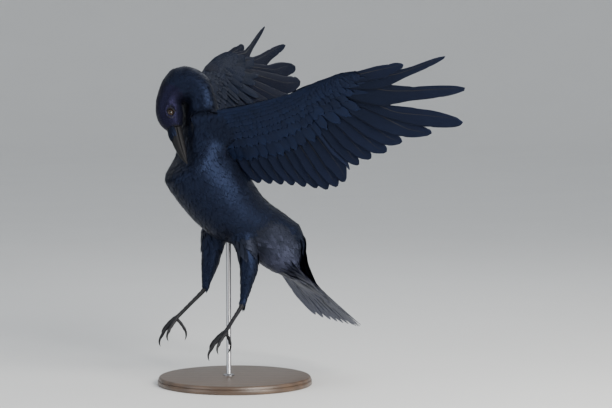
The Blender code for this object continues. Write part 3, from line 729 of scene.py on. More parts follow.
def flight_feather(limb, root, lead, trail, tip, stack, roll, rng, rows, columns, lap):
    """One flight feather as a thin closed vane. Returns the points above, the points below, the spot of
    each in the vane, and the shaft's line. lead is the edge nearer the leading edge, trail the other."""
    start = (lead + trail) / 2
    free = np.linalg.norm(tip - start)
    whole = np.linalg.norm(start - root) + free
    width = np.linalg.norm(lead - trail)
    parted = 1 - free / whole
    notch = NOTCH if free > LONG_FREE * width else 0.0
    t = np.linspace(0, 1, rows) ** 0.9
    before = np.minimum(t / parted, 1)[:, None]
    after = (np.maximum(t - parted, 0) / (1 - parted))[:, None]
    share = 1 - notch * np.minimum(1, after / NOTCH_LENGTH)
    share = share * np.sqrt(np.maximum(0.0, 1 - (after * TIP_REACH) ** TIP_POWER))
    line = root + (start - root) * before + (tip - start) * after
    narrow = BASE_WIDTH + (1 - BASE_WIDTH) * before ** 0.8
    edges = [line + (end - start) * share * narrow for end in (lead, trail)]
    # A soft bend where the two straight runs meet.
    for one in (line, *edges):
        smoothed(one, 5)
    ways = unit(np.gradient(line, axis=0))
    across = np.stack([-ways[:, 1], ways[:, 0]], 1)
    if np.dot(across[rows // 2], lead - trail) < 0:
        across = -across
    ahead = np.sum((edges[0] - line) * across, 1)
    behind = -np.sum((edges[1] - line) * across, 1)
    shear = [np.sum((edge - line) * ways, 1) for edge in edges]
    half = max(2.0, float(ahead.max() + behind.max()) / 2)
    # Where it lies among its neighbours, each vane runs on beneath or over the next.
    covered = np.clip((parted + 0.02 - t) / 0.2, 0, 1)
    ahead = ahead + lap * FRONT_LAP * covered
    behind = behind + lap * covered
    # Small nicks where barbs have come apart.
    for edge in (ahead, behind):
        for _ in range(2):
            where = rng.uniform(*NICK_PLACE)
            edge -= np.exp(-((t - where) / NICK_WIDTH) ** 2) * edge * rng.uniform(*NICK_DEPTH)
    b = np.linspace(-1, 1, columns)
    shaft_at = SHAFT_AHEAD * np.clip(free / (2.5 * width), 0.25, 1)
    reach = np.where(b > 0, ahead[:, None] * b, behind[:, None] * b)
    slide = np.where(b > 0, shear[0][:, None] * b, shear[1][:, None] * -b)
    uv = line[:, None] + across[:, None] * reach[..., None] + ways[:, None] * slide[..., None]
    u, v = uv[..., 0], uv[..., 1]
    normal = limb.normal(u, v)
    down = t[:, None]
    from_shaft = (b - shaft_at) * (ahead + behind)[:, None] / 2
    lift = stack * (1 - 0.6 * down) + roll * reach / half
    lift = lift - CURL * from_shaft**2 * np.minimum(1, down * 3)
    lift = lift + rng.normal(0, STRAY_TIP) * down**2
    middle = limb.surface(u, v) + normal * lift[..., None]
    wall = normal * ((VANE_THICK + VANE_ROOT_EXTRA * (1 - down)) / 2)[..., None]
    index = int(round((shaft_at + 1) / 2 * (columns - 1)))
    return (middle + wall, middle - wall, sheet(0.5 + (b - shaft_at) / 2, t),
            (middle[:, index], normal[:, index], t))


def vane_block(rows, columns):
    """Faces of one closed vane, above, below and round its edge, and which finish each takes."""
    size = rows * columns
    grid = grid_faces(rows, columns)
    index = np.arange(size).reshape(rows, columns)
    edge = np.concatenate([index[0], index[1:, -1], index[-1, -2::-1], index[-2:0:-1, 0]])
    after = np.roll(edge, -1)
    rim = np.stack([edge, edge + size, after + size, after], 1)
    kinds = np.repeat([0, 1, 0], [len(grid), len(grid), len(rim)])
    return np.vstack([grid, grid[:, ::-1] + size, rim]), kinds


def add_flight(name, limb, finishes, stack, roll, lap, slot, replaces, rng):
    """All flight feathers of a limb in one piece, and their shafts in another. stack is how far the
    middle feathers lie above the outer ones."""
    rows, columns = ((44, 11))
    size = rows * columns
    block, kinds = vane_block(rows, columns)
    found = limb.feathers()
    count = len(found)
    points, bake, vane, tones, shafts = [], [], [], [], []
    for i, (root, lead, trail, tip) in enumerate(found):
        height = stack * (1 - abs(2 * i - (count - 1)) / (count - 1))
        above, below, spots, shaft = flight_feather(
            limb, root, lead, trail, tip, height, roll, rng, rows, columns, lap)
        points += [above.reshape(-1, 3), below.reshape(-1, 3)]
        room = STRIP / count
        x = (i + STRIP_GAP) / count + np.linspace(0, 1, columns) * room
        strip = sheet(x, np.linspace(*STRIP_ENDS, rows)).reshape(-1, 2)
        bake += [strip, strip + vec(room + STRIP_GAP / count, 0)]
        vane += [spots.reshape(-1, 2)] * 2
        tones.append(np.full(2 * size, rng.uniform(0.25, 0.75)))
        shafts.append(shaft)
    add_mesh(name, np.vstack(points), repeated(block, 2 * size, count), finishes,
             {"OFBake": np.vstack(bake), "Vane": np.vstack(vane)}, np.concatenate(tones),
             np.tile(kinds, count), replaces)
    add_shafts(name + "_shafts", shafts)


def add_shafts(name, shafts):
    """The shafts stand a little proud of both faces of their vanes."""
    points, bake = [], []
    count = len(shafts)
    for i, (spots, normals, t) in enumerate(shafts):
        across = unit(np.cross(unit(np.gradient(spots, axis=0)), normals))
        radius = SHAFT_ROOT * (1 - t) ** 0.8 + SHAFT_TIP
        points.append(
            rounds(spots, normals, across, radius * SHAFT_HIGH, radius * SHAFT_WIDE, SHAFT_SIDES))
        x = (i + 0.1 + 0.8 * np.arange(SHAFT_SIDES) / SHAFT_SIDES) / count
        bake.append(sheet(x, np.linspace(*STRIP_ENDS, len(t))).reshape(-1, 2))
    rows = len(points[0])
    faces = repeated(grid_faces(rows, SHAFT_SIDES, True), rows * SHAFT_SIDES, count)
    add_mesh(name, np.concatenate(points).reshape(-1, 3), faces, MATERIALS["rachis"],
             {"OFBake": np.vstack(bake)})


def ragged_end(half, length, a, b, ragged, rng):
    """How far back along each feather the sides of its tip are drawn, and how far its barbs stray."""
    back = -np.abs(b) ** 2.2 * half[:, None, None] * 0.5 * (a**4)[None, :, None]
    loose = rng.uniform(-1, 1, (len(half), 1, len(b))) * ragged
    return back, loose * length[:, None, None] * (a**7)[None, :, None]


def soft_vanes(spots, normals, length, half, rng, columns, cup, ragged, tip=ROUND_TIP, sides=None):
    """A sheet for each feather over its shaft line. spots and normals are feather by row; half is each
    feather's half width. Returns the points, feather by row by column."""
    a = down_shaft(spots.shape[1])
    b = np.linspace(-1, 1, columns)
    along = unit(np.gradient(spots, axis=1))
    across = unit(np.cross(normals, along)) if sides is None else sides
    start, power, point = tip
    past = np.maximum(a - start, 0) / (1 - start)
    shape = ROOT_SHARE + (1 - ROOT_SHARE) * np.sin(np.minimum(a / WIDEST, 1) * math.pi / 2)
    shape = shape * (point + (1 - point) * (1 - past**2) ** power)
    reach = (half[:, None] * shape[None])[..., None] * b
    # Edges fall towards the skin.
    fall = -np.broadcast_to(cup, len(half))[:, None, None] * reach**2
    points = spots[:, :, None] + across[:, :, None] * reach[..., None]
    points = points + normals[:, :, None] * fall[..., None]
    back, loose = ragged_end(half, length, a, b, ragged, rng)
    return points + along[:, :, None] * (back + loose)[..., None]


def add_coat(name, points, places, finish, rng, tones=None):
    """A coat piece from feather-by-row-by-column points. places are the roots' spots on the skin."""
    count, rows, columns = points.shape[:3]
    faces = repeated(grid_faces(rows, columns), rows * columns, count)
    low, high = places.min(0), places.max(0)
    home = 0.01 + 0.98 * (places - low) / (high - low)
    patch = sheet(*((np.linspace(0, 1, side) - 0.5) * COAT_PATCH for side in (columns, rows)))
    bake = home[:, None, None] + patch[None]
    vane = np.broadcast_to(sheet(np.linspace(0, 1, columns), down_shaft(rows)), (count, rows, columns, 2))
    if tones is None:
        tones = rng.uniform(0, 1, count)
    add_mesh(name, points.reshape(-1, 3), faces, finish,
             {"OFBake": bake.reshape(-1, 2), "Vane": vane.reshape(-1, 2)},
             np.repeat(tones, rows * columns), None)


# --- Skin ----------------------------------------------------------------------------------------

FLESH = ("head", "neck", "trunk", "tail_coverts", "thigh_left", "thigh_right")
SKIN_VOXEL = 0.0021
RELAX, RELAX_ROUNDS = 0.6, 5
BLEND, BLEND_ROUNDS = 0.5, 45
# Depth of the coat on a thigh, from its top to the joint, and the depth that its lie is read at.
THIGH_COAT = (3.6, 0.5)
THIGH_LIE_DEPTH = 3.0
# A wing's flesh: out along the wing, and how far back it reaches.
WING_FLESH = ((-26, 74), (40, 52), (130, 34), (226, 10))
WING_FLESH_ROWS = 64
COVERT_DEPTH = 1.6
# Round a wing's root and a thigh's top: how far out the skin is evened out most, and over what distance.
WING_BLEND = (6, 30)
WING_BLEND_DEPTH = 96
THIGH_BLEND = 22
# How far the skin stands over an eye's centre, by distance from the eye's axis.
SOCKET = ((0, 2.0), (6.0, 2.3), (7.5, 3.4), (9.5, 6.0))
BODY_ROWS = 330
THIGH_ROWS = 60
THIGH_HIDDEN = 12
LEG_SIDES = 32
SPREAD_STEP = 1.12
# How far round the lie is read from, in rows, and how much of a feather's own way it keeps at each step.
LIE_ROWS = 4
OWN_WAY = 0.65


def thigh_stations(thigh, tarsus):
    """The thigh's stations, run on a little way past the joint with the tarsus."""
    joint, below = (vec(*station[:3]) for station in tarsus[:2])
    end = joint + unit(below - joint) * 3.0
    return thigh + ((*joint, 5.0, 5.2), (*end, 4.4, 4.6))


def thigh_flesh(thigh, tarsus):
    """A thigh, inside its feathers' outline."""
    rings = tube(thigh_stations(thigh, tarsus), LEFT, 34, LEG_SIDES)[0]
    centres = rings.mean(1, keepdims=True)
    depth = np.linspace(*THIGH_COAT, len(rings))[:, None, None]
    out = rings - centres
    size = np.linalg.norm(out, axis=-1, keepdims=True)
    return centres + out * np.maximum(1 - depth / size, 0.3)


def wing_flesh(wing):
    """The fleshy leading part of a wing, a little thinner than its coverts' outline."""
    turns = circle(32)
    rings = []
    for one in np.linspace(WING_FLESH[0][0], WING_FLESH[-1][0], WING_FLESH_ROWS):
        chord = curve(WING_FLESH, one)
        x = (1 - np.cos(turns)) / 2
        v = wing.front(one) + 2.0 + x * chord
        half = np.maximum(wing.thickness(one, v) / 2 - COVERT_DEPTH, 0.5) * np.sign(np.sin(turns))
        half = half * np.minimum(1, np.abs(np.sin(turns)) * 2.2)
        full = np.full_like(v, one)
        rings.append(wing.surface(full, v) + wing.normal(full, v) * half[:, None])
    return np.array(rings)


def make_skin(wings):
    """One skin for body, thighs and wings, joined by a remesh so that no seam shows."""
    shells = [body_rings()] + [thigh_flesh(*leg) for leg in LEGS] + [wing_flesh(w) for w in wings]
    points, faces = merged(closed_loft(shell) for shell in shells)
    mesh = bpy.data.meshes.new("skin_parts")
    mesh.from_pydata(points * MM, [], faces)
    raw = bpy.data.objects.new("skin_parts", mesh)
    bpy.context.scene.collection.objects.link(raw)
    remesh = raw.modifiers.new("remesh", "REMESH")
    remesh.mode = "VOXEL"
    remesh.voxel_size = SKIN_VOXEL
    relax = raw.modifiers.new("relax", "SMOOTH")
    relax.factor = RELAX
    relax.iterations = RELAX_ROUNDS
    graph = bpy.context.evaluated_depsgraph_get()
    made = bpy.data.meshes.new_from_object(raw.evaluated_get(graph))
    bpy.data.objects.remove(raw)
    co = np.empty(len(made.vertices) * 3)
    made.vertices.foreach_get("co", co)
    ends = np.empty(len(made.edges) * 2, np.int32)
    made.edges.foreach_get("vertices", ends)
    quads = [tuple(p.vertices) for p in made.polygons]
    return sink_sockets(soften(co.reshape(-1, 3) / MM, ends.reshape(-1, 2), wings)), quads


def soften(points, edges, wings):
    """Blends the wings and the thighs into the body, where the skin would fold sharply."""
    weight = np.zeros(len(points))
    for wing in wings:
        u, v = wing.local(points)
        near = np.clip(1.4 - np.abs(u - WING_BLEND[0]) / WING_BLEND[1], 0, 1)
        weight = np.maximum(weight, near * (np.abs(v) < WING_BLEND_DEPTH))
    for thigh, _ in LEGS:
        gap = np.linalg.norm(points - vec(*thigh[1][:3]), axis=1)
        weight = np.maximum(weight, np.clip(1.5 - gap / THIGH_BLEND, 0, 1))
    weight = (BLEND * np.minimum(weight, 1))[:, None]
    count = np.bincount(edges.ravel(), minlength=len(points))[:, None]
    for _ in range(BLEND_ROUNDS):
        total = np.zeros_like(points)
        for a, b in ((0, 1), (1, 0)):
            np.add.at(total, edges[:, a], points[edges[:, b]])
        points = points + weight * (total / count - points)
    return points


def off_eye(points, way):
    """How far points on one side of the head, way 1 for the left, are from the eye's own axis."""
    local = points - EYE_MIDDLE
    out = np.hypot(local @ BILL_AXIS, local @ CROWN)
    return np.where(local @ HEAD_LEFT * way > 4, out, 1000.0)


def off_eyes(points):
    """How far points are from the nearer eye's axis."""
    return np.minimum(off_eye(points, 1), off_eye(points, -1))


def eye_frame(way, forward, raised):
    """An eye's centre, the way it looks, and its right and up. way is 1 for the left eye."""
    axis = unit(HEAD_LEFT * way + BILL_AXIS * forward + CROWN * raised)
    right = unit(np.cross(axis, CROWN))
    return EYE_MIDDLE + HEAD_LEFT * (way * EYE_OUT), axis, right, np.cross(right, axis)


def sink_sockets(points):
    """Draws the skin back round each eye, so that the lids stand over it and the eyeball shows."""
    for way in (1, -1):
        out_way = HEAD_LEFT * way
        high = (points - (EYE_MIDDLE + HEAD_LEFT * (way * EYE_OUT))) @ out_way
        out = off_eye(points, way)
        drop = np.maximum(high - curve(SOCKET, out), 0)
        drop = np.where((high > -4) & (out < SOCKET[-1][0]), drop, 0)
        points = points - np.outer(drop, out_way)
    return points


class Surface:
    """The skin as something to comb feathers over: nearest points, the lie, and the place by ring. kind
    is 0 on the body, 1 on the left thigh and 2 on the right."""

    def __init__(self, points, faces):
        self.points = points
        self.faces = faces
        self.tree = BVHTree.FromPolygons([Vector(p) for p in points], faces)
        chain = body_rings()
        fine = np.linspace(0, len(chain) - 1, BODY_ROWS)
        lower = np.minimum(fine.astype(int), len(chain) - 2)
        share = (fine - lower)[:, None, None]
        rows = chain[lower] * (1 - share) + chain[lower + 1] * share
        index = np.arange(BODY_ROWS)
        ways = rows[np.minimum(index + LIE_ROWS, BODY_ROWS - 1)] - rows[np.maximum(index - LIE_ROWS, 0)]
        found = [(rows, unit(ways + ways.mean(1, keepdims=True) * 0.3), fine)]
        for thigh, tarsus in LEGS:
            stations = thigh_stations(thigh, tarsus)
            rings, _, ways = tube(stations, LEFT, THIGH_ROWS, LEG_SIDES, THIGH_LIE_DEPTH)
            ways = np.broadcast_to(ways[:, None], rings.shape)
            below = slice(THIGH_HIDDEN, None)
            found.append((rings[below], ways[below], np.linspace(0, 1, THIGH_ROWS)[below]))
        spots = np.vstack([rings.reshape(-1, 3) for rings, _, _ in found])
        self.lies = np.vstack([ways.reshape(-1, 3) for _, ways, _ in found])
        self.ring = np.concatenate([np.repeat(ring, rows.shape[1]) for rows, _, ring in found])
        self.turn = np.concatenate([np.tile(np.arange(rows.shape[1]) / rows.shape[1], len(rows))
                                    for rows, _, _ in found])
        sizes = [rows.shape[0] * rows.shape[1] for rows, _, _ in found]
        self.kind = np.repeat(np.arange(len(found)), sizes)
        self.near = KDTree(len(spots))
        for i, p in enumerate(spots):
            self.near.insert(p, i)
        self.near.balance()

    def spread(self, spacing, rng, tries):
        """Points over the skin, no two nearer than the spacing that spacing(ring, kind) asks for."""
        tris = np.array([(f[0], f[i], f[i + 1]) for f in self.faces for i in range(1, len(f) - 1)])
        a, b, c = (self.points[tris[:, k]] for k in range(3))
        cross = np.cross(b - a, c - a)
        index = np.array([self.near.find(q)[1] for q in (a + b + c) / 3])
        gaps = spacing(self.ring[index], self.kind[index])
        weight = np.linalg.norm(cross, axis=1) / 2 / gaps**2
        pick = rng.choice(len(tris), tries, p=weight / weight.sum())
        r1, r2 = np.sqrt(rng.uniform(0, 1, tries)), rng.uniform(0, 1, tries)
        spots = (a[pick] * (1 - r1)[:, None] + b[pick] * (r1 * (1 - r2))[:, None]
                 + c[pick] * (r1 * r2)[:, None])
        # Points of about one spacing share a grid with cells of that size.
        level = np.round(np.log(gaps[pick]) / math.log(SPREAD_STEP)).astype(int)
        taken, kept = {}, []
        for i, spot in enumerate(spots):
            size = SPREAD_STEP ** level[i]
            x, y, z = (int(math.floor(q / size)) for q in spot)
            near = (j for dx, dy, dz in itertools.product((-1, 0, 1), repeat=3)
                    for j in taken.get((level[i], x + dx, y + dy, z + dz), ()))
            if not any(np.linalg.norm(spot - spots[j]) < size for j in near):
                taken.setdefault((level[i], x, y, z), []).append(i)
                kept.append(i)
        return spots[kept], unit(cross[pick])[kept]

    def comb(self, spot, normal, length, rows, turn, free_turn):
        """A feather's shaft line over the skin from a root, following the lie; it runs straight on where
        the skin turns sharply away."""
        spot, normal = Vector(spot), Vector(normal)
        lie = Vector(self.lies[self.near.find(spot)[1]])
        way = (lie - normal * lie.dot(normal)).normalized()
        way = (way * math.cos(turn) + normal.cross(way) * math.sin(turn)).normalized()
        spots, normals, free = [spot], [normal], False
        for step in np.diff(down_shaft(rows)) * length:
            ahead = spot + way * step
            if not free:
                near, facing, _, gap = self.tree.find_nearest(ahead)
                free = facing.dot(normal) < free_turn or gap > step * 0.9
            if free:
                spot = ahead
            else:
                lie = Vector(self.lies[self.near.find(near)[1]])
                normal = (normal + facing).normalized()
                way = way * OWN_WAY + lie * (1 - OWN_WAY)
                way = (way - normal * way.dot(normal)).normalized()
                spot = near
            spots.append(spot)
            normals.append(normal)
        return spots, normals


# --- Body feathers -------------------------------------------------------------------------------

ROOTS_TRIED = 90000
# Nearest that a feather's root, and the rest of it, come to an eye's axis.
LID_CLEAR = 5.3
BALL_CLEAR = 4.7
# Down the thigh: spacing, length and depth of its feathers, and their width as a share of the length.
THIGH_SPACING = ((0, 4.0), (0.5, 3.3), (1, 2.0))
THIGH_LENGTH = ((0, 24), (0.5, 17), (1, 6))
THIGH_DEPTH = ((0, 3.6), (0.6, 2.4), (1, 0.7))
THIGH_WIDTH_SHARE = 0.36
# By ring: how much the edges of the body's feathers curl down.
BODY_CUP = ((0, 0.03), (8, 0.022), (16, 0.012), (24, 0.010), (32, 0.012))
THIGH_CUP = 0.03
# Out along a wing: how much of its height the coat keeps, towards where the wing's coverts begin.
COVERTS_START = 34
THINNING = ((6, 1), (COVERTS_START, 0.4))
# Near an eye's axis: the feathers' length and height.
EYE_SHORTER = ((5, 0.45), (13, 1))
EYE_FLATTER = ((5, 0.6), (10, 1))
# A feather's own swing off the lie and roll about its shaft, and how ragged its end is.
SWING, ROLL, RAGGED = 0.10, 0.04, 0.025
# Painted glare on the vent's feathers sets in slowly down the belly, by ring, and away from the flanks, by
# turn.
PAINTED_GLARE_START, PAINTED_GLARE_RUN = 24.8, 3.6
PAINTED_GLARE_SIDE, PAINTED_GLARE_FADE = 0.32, 0.14
PAINTED_GLARE_SPREAD = 0.30
# Long tail coverts leave the body this far down the tail and settle over this run, at this height.
SETTLE_START, SETTLE_RUN = 46, 26
SETTLE_HEIGHT = 1.6
# A feather runs straight on where the skin turns more than this (as a cosine): on the body, at its end.
FREE_TURN, FREE_TURN_END = 0.1, 0.55
# Rings where the coat's groups part: head and neck, neck and trunk, and the ends of the trunk's and of
# the whole body's coat, beneath and above.
NECK_RING, TRUNK_RING = 8, 15
TRUNK_END = (24.5, 27.8)
BODY_END = (30.2, 29.0)
BENEATH = 0.33


def body_spacing(ring, kind):
    return np.where(kind == 0, coat(ring, SPACING), curve(THIGH_SPACING, ring))


def make_body_coat(skin, wings):
    rng = np.random.default_rng(SEED)
    roots, normals = skin.spread(body_spacing, rng, ROOTS_TRIED)
    index = np.array([skin.near.find(p)[1] for p in roots])
    ring, turn, kind = skin.ring[index], skin.turn[index], skin.kind[index]
    body = kind == 0
    beneath = np.abs(turn - 0.5) < BENEATH
    # The bill's root, the eyes, the wings' own flesh and the tail have other coats or none.
    keep = (off_eyes(roots) > LID_CLEAR) & ~(body & (ring < 0.15))
    for wing in wings:
        u, v = wing.local(roots)
        away = np.abs((roots - wing.surface(u, v)) @ wing.top)
        on_wing = (away < wing.thickness(u, v) / 2 + 3) & (v > wing.front(u) - 4) & (v < 90)
        keep &= ~((u > COVERTS_START) & on_wing)
    keep &= ~(body & (ring > np.where(beneath, *BODY_END)))
    head, neck = body & (ring < NECK_RING), body & (ring >= NECK_RING) & (ring < TRUNK_RING)
    on_trunk = body & (ring >= TRUNK_RING) & (ring < np.where(beneath, *TRUNK_END))
    end = body & (ring >= TRUNK_RING) & ~on_trunk
    groups = (
        ("coat_head", head, "head_feather", 6, 6),
        ("coat_neck", neck, "body_feather", 8, 7),
        ("coat_trunk_left", on_trunk & (turn <= 0.5), "body_feather", 9, 9),
        ("coat_trunk_right", on_trunk & (turn > 0.5), "body_feather", 9, 9),
        ("coat_rump", end & ~beneath, "body_feather", 10, 9),
        # The vent's finish paints glare as a pale colour.
        ("coat_vent", end & beneath, "vent_feather_glare", 10, 9),
        ("coat_thigh_left", kind == 1, "body_feather", 8, 7),
        ("coat_thigh_right", kind == 2, "body_feather", 8, 7),
    )
    for name, chosen, finish, rows, columns in groups:
        some = np.flatnonzero(chosen & keep)
        some = some[np.argsort(ring[some], kind="stable")]
        add_body_group(name, skin, roots[some], normals[some], ring[some], turn[some], wings,
                       MATERIALS[finish], rows, columns, rng)


def add_body_group(name, skin, roots, normals, ring, turn, wings, finish, rows, columns, rng):
    """The feathers of one part of the coat: their lengths, their lines over the skin, and their vanes."""
    count = len(roots)
    if name.startswith("coat_thigh"):
        length, depth = curve(THIGH_LENGTH, ring), curve(THIGH_DEPTH, ring)
        share, hackle, cup = THIGH_WIDTH_SHARE, np.zeros(count), THIGH_CUP
    else:
        length, depth, share = (coat(ring, column) for column in (LENGTH, DEPTH, WIDTH_SHARE))
        # The throat and the breast carry longer, looser feathers than the back.
        belly = np.clip(1 - np.abs(turn - 0.5) * 4, 0, 1)
        hackle = belly * np.clip(1 - np.abs(ring - 15) / 6, 0, 1)
        cup = curve(BODY_CUP, ring)
    by_tail = name in ("coat_rump", "coat_vent")
    free_turn = FREE_TURN_END if by_tail or name.startswith("coat_thigh") else FREE_TURN
    eye_gap = off_eyes(roots)
    length = length * curve(EYE_SHORTER, eye_gap)
    length = length * (1 + 0.25 * hackle) * rng.uniform(0.88, 1.12, count)
    half = length * share / 2 * (1 - 0.25 * hackle) * rng.uniform(0.9, 1.1, count)
    swing = rng.normal(0, SWING, count)
    combed = [skin.comb(roots[i], normals[i], length[i], rows, swing[i], free_turn) for i in range(count)]
    spots, facing = (np.array([[tuple(p) for p in line[k]] for line in combed]) for k in (0, 1))
    facing = unit(facing)
    stand = rng.uniform(0.90, 1.05, count) + 0.35 * hackle * rng.uniform(0, 1, count)
    stand = stand * curve(EYE_FLATTER, eye_gap)
    for wing in wings:
        stand = stand * curve(THINNING, wing.local(roots)[0])
    # No feather runs over an eyeball.
    clear = off_eyes(spots).min(1) > BALL_CLEAR
    rise = depth[:, None] * stand[:, None] * (0.04 + 0.96 * down_shaft(rows)[None] ** 0.85)
    spots = spots + facing * rise[..., None]
    if by_tail:
        spots, facing = laid_on_tail(spots, facing, rng)
    # Each feather rolls a little, so one edge lies over its neighbour.
    flat = unit(np.cross(facing, unit(np.gradient(spots, axis=1))))
    across = unit(flat + facing * rng.normal(0, ROLL, count)[:, None, None])
    points = soft_vanes(spots, facing, length, half, rng, columns, cup, RAGGED, BODY_TIP, across)
    tones = rng.uniform(0, 1, count)
    # The vent's tones place a pale patch of painted glare, strongest down the middle of the belly towards the
    # tail.
    if name == "coat_vent":
        down_belly = np.clip((ring - PAINTED_GLARE_START) / PAINTED_GLARE_RUN, 0, 1)
        off_flank = np.clip((PAINTED_GLARE_SIDE - np.abs(turn - 0.5)) / PAINTED_GLARE_FADE, 0, 1)
        tones = down_belly * off_flank + PAINTED_GLARE_SPREAD * (tones - 0.5)
    places = np.stack([turn, ring], 1)
    add_coat(name, points[clear], places[clear], finish, rng, tones[clear])


def laid_on_tail(spots, facing, rng):
    """Long tail coverts leave the body's end and settle on the tail's nearer face."""
    tail = Tail()
    local = spots - TAIL_ROOT
    u, v = local @ TAIL_AXIS, local @ tail.side
    height = (spots - tail.surface(u, v)) @ tail.top
    face = np.where(height[:, :1] > 0, 1.0, -1.0)
    share = np.clip((u - np.maximum(u[:, :1], SETTLE_START)) / SETTLE_RUN, 0, 1)
    share = share * share * (3 - 2 * share)
    rest = face * (SETTLE_HEIGHT + rng.uniform(0, SETTLE_HEIGHT, (len(spots), 1)))
    spots = spots + tail.top * ((rest - height) * share)[..., None]
    facing = unit(facing * (1 - share)[..., None] + tail.top * (face * share)[..., None])
    return spots, facing


# --- Coverts -------------------------------------------------------------------------------------

# Rows of coverts, from the leading edge back: where the root lies behind the front on the arm and on the
# hand, length on the arm and on the hand, spacing, width, and height over the wing's own face.
UPPER_ROWS = (
    (52, 30, 62, 78, 12.5, 19, 0.2), (40, 23, 44, 50, 10.0, 16, 0.7), (31, 17, 32, 32, 8.0, 13, 1.0),
    (24, 13, 26, 24, 7.0, 11, 1.1), (18, 9.5, 21, 18, 6.0, 9.5, 1.1), (12.5, 6.5, 17, 14, 5.2, 8, 1.0),
    (8, 4, 13, 10, 4.4, 6.6, 0.9), (4.5, 2, 9, 7.5, 3.6, 5.4, 0.7), (1.8, 0.6, 6.5, 5.5, 3.0, 4.4, 0.5),
    (0.2, 0.0, 5.0, 4.2, 2.6, 3.8, 0.3),
)
UNDER_ROWS = (
    (48, 26, 44, 52, 12.0, 17, 0.1), (37, 20, 32, 34, 9.5, 14, 0.5), (28, 15, 25, 24, 7.6, 11, 0.8),
    (21, 11, 20, 18, 6.4, 9, 0.9), (15, 7.5, 16, 13, 5.4, 7.6, 0.9), (10, 4.8, 12, 9, 4.6, 6.4, 0.8),
    (6, 2.6, 9, 7, 3.8, 5.2, 0.7), (2.8, 1.0, 6.5, 5.5, 3.0, 4.4, 0.5),
    (0.6, 0.1, 5.0, 4.2, 2.6, 3.8, 0.3),
)
COVERTS_END = 236
# Between these reaches the arm's rows turn into the hand's.
ARM_ENDS, HAND_STARTS = 95, 150
# Rows of tail coverts, from the longest, nearest the tail's tip, to those up on the body: where the
# roots lie down the tail's length, how far to each side, and the feathers' length.
TAIL_ROWS = (
    (80, 21, 62), (72, 24, 58), (64, 26, 54), (56, 28, 50), (48, 29, 46), (40, 30, 42), (32, 30, 38),
)
TAIL_SPACING = 3.6
PROBE = 90
# The alula's feathers, from the longest: half widths, and the step from one to the next.
ALULA_HALF = (5.4, 5.0, 4.6, 4.2)
ALULA_STEP = (3.0, 2.4)


def make_coverts(wing, rows_table, face, finish, rng):
    """Coverts on the upper (1) or under (-1) face of a wing, in rows that lie like the flight feathers."""
    found = wing.feathers()[::-1]
    ways = np.array([unit((lead + trail) / 2 - root) for root, lead, trail, _ in found])
    angles = np.unwrap(np.arctan2(ways[:, 1], ways[:, 0]))
    a, b = down_shaft(8), np.linspace(-1, 1, 7)
    rows = a[None, :, None]
    shape = np.sin(np.minimum(a / 0.6, 1) * math.pi / 2) * 0.6 + 0.4
    tip = np.where(a > 0.6, 0.3 + 0.7 * np.sqrt(np.maximum(0, 1 - ((a - 0.6) / 0.4) ** 2)), 1)
    all_points, all_places = [], []
    for k, (arm_v, hand_v, arm_l, hand_l, gap, width, height) in enumerate(rows_table):
        first = 18.0 - 0.5 * arm_v
        count = int((COVERTS_END - first) / gap)
        u = first + (np.arange(count) + 0.5 * (k % 2)) * gap + rng.normal(0, gap * 0.06, count)
        on_hand = np.clip((u - ARM_ENDS) / (HAND_STARTS - ARM_ENDS), 0, 1)
        past = np.clip((u - HAND_END) / 30, 0, 1)
        behind = (arm_v + (hand_v - arm_v) * on_hand) * (1 - 0.7 * past)
        length = (arm_l + (hand_l - arm_l) * on_hand) * (1 - 0.35 * past)
        length = length * rng.uniform(0.93, 1.07, count)
        angle = np.interp(u, [f[0][0] for f in found], angles) + rng.normal(0, 0.03, count)
        half = width / 2 * (1 - 0.25 * past) * rng.uniform(0.94, 1.06, count)
        reach = half[:, None, None] * (shape * tip)[None, :, None] * b
        back, loose = ragged_end(half, length, a, b, RAGGED, rng)
        run = length[:, None, None] * rows + back + loose
        ca, sa = np.cos(angle)[:, None, None], np.sin(angle)[:, None, None]
        gu = u[:, None, None] + ca * run - sa * reach
        gv = (wing.front(u) + behind)[:, None, None] + sa * run + ca * reach
        rolled = rng.normal(0, ROLL, count)[:, None, None] * reach + 0.05 * reach * face
        # The innermost roots lie under the body's coat.
        buried = np.clip((COVERTS_START - u) / 9, 0, 2.6)[:, None, None]
        sunk = -1.6 * (1 - rows) ** 1.3 + height + 0.25 - buried
        lift = (wing.thickness(gu, gv) / 2 + sunk + rolled - 0.006 * reach**2
                + rng.normal(0, 0.12, count)[:, None, None])
        all_points.append(wing.surface(gu, gv) + wing.normal(gu, gv) * (lift * face)[..., None])
        all_places.append(np.stack([(u + 20) / 270, (wing.front(u) + behind + 50) / 150], 1))
    name = f"coat_wing_{wing.name}_{'upper' if face > 0 else 'under'}"
    add_coat(name, np.concatenate(all_points), np.concatenate(all_places), finish, rng)


def make_alula(wing, rng):
    """Four stiff little feathers at the wrist."""
    a = down_shaft(10)
    lengths = 44.0 - 7 * np.arange(len(ALULA_HALF))
    lines, faces = [], []
    for i, length in enumerate(lengths):
        u0 = WRIST[0] + 6 + i * ALULA_STEP[0]
        v0 = wing.front(u0) + 3.5 + i * ALULA_STEP[1]
        slope = (wing.front(u0 + 30) - wing.front(u0)) / 30
        angle = math.atan(slope) + 0.10 + 0.09 * i
        u = u0 + length * a * math.cos(angle)
        v = v0 + length * a * math.sin(angle)
        faces.append(wing.normal(u, v))
        lift = wing.thickness(u, v) / 2 + 0.9 + 0.5 * a
        lines.append(wing.surface(u, v) + faces[-1] * lift[:, None])
    points = soft_vanes(np.array(lines), np.array(faces), lengths, np.array(ALULA_HALF),
                        rng, 7, 0.02, 0.01, ALULA_TIP)
    places = np.repeat(np.linspace(0, 1, len(lengths))[:, None], 2, 1)
    add_coat(f"coat_alula_{wing.name}", points, places, MATERIALS["flight_above"], rng)


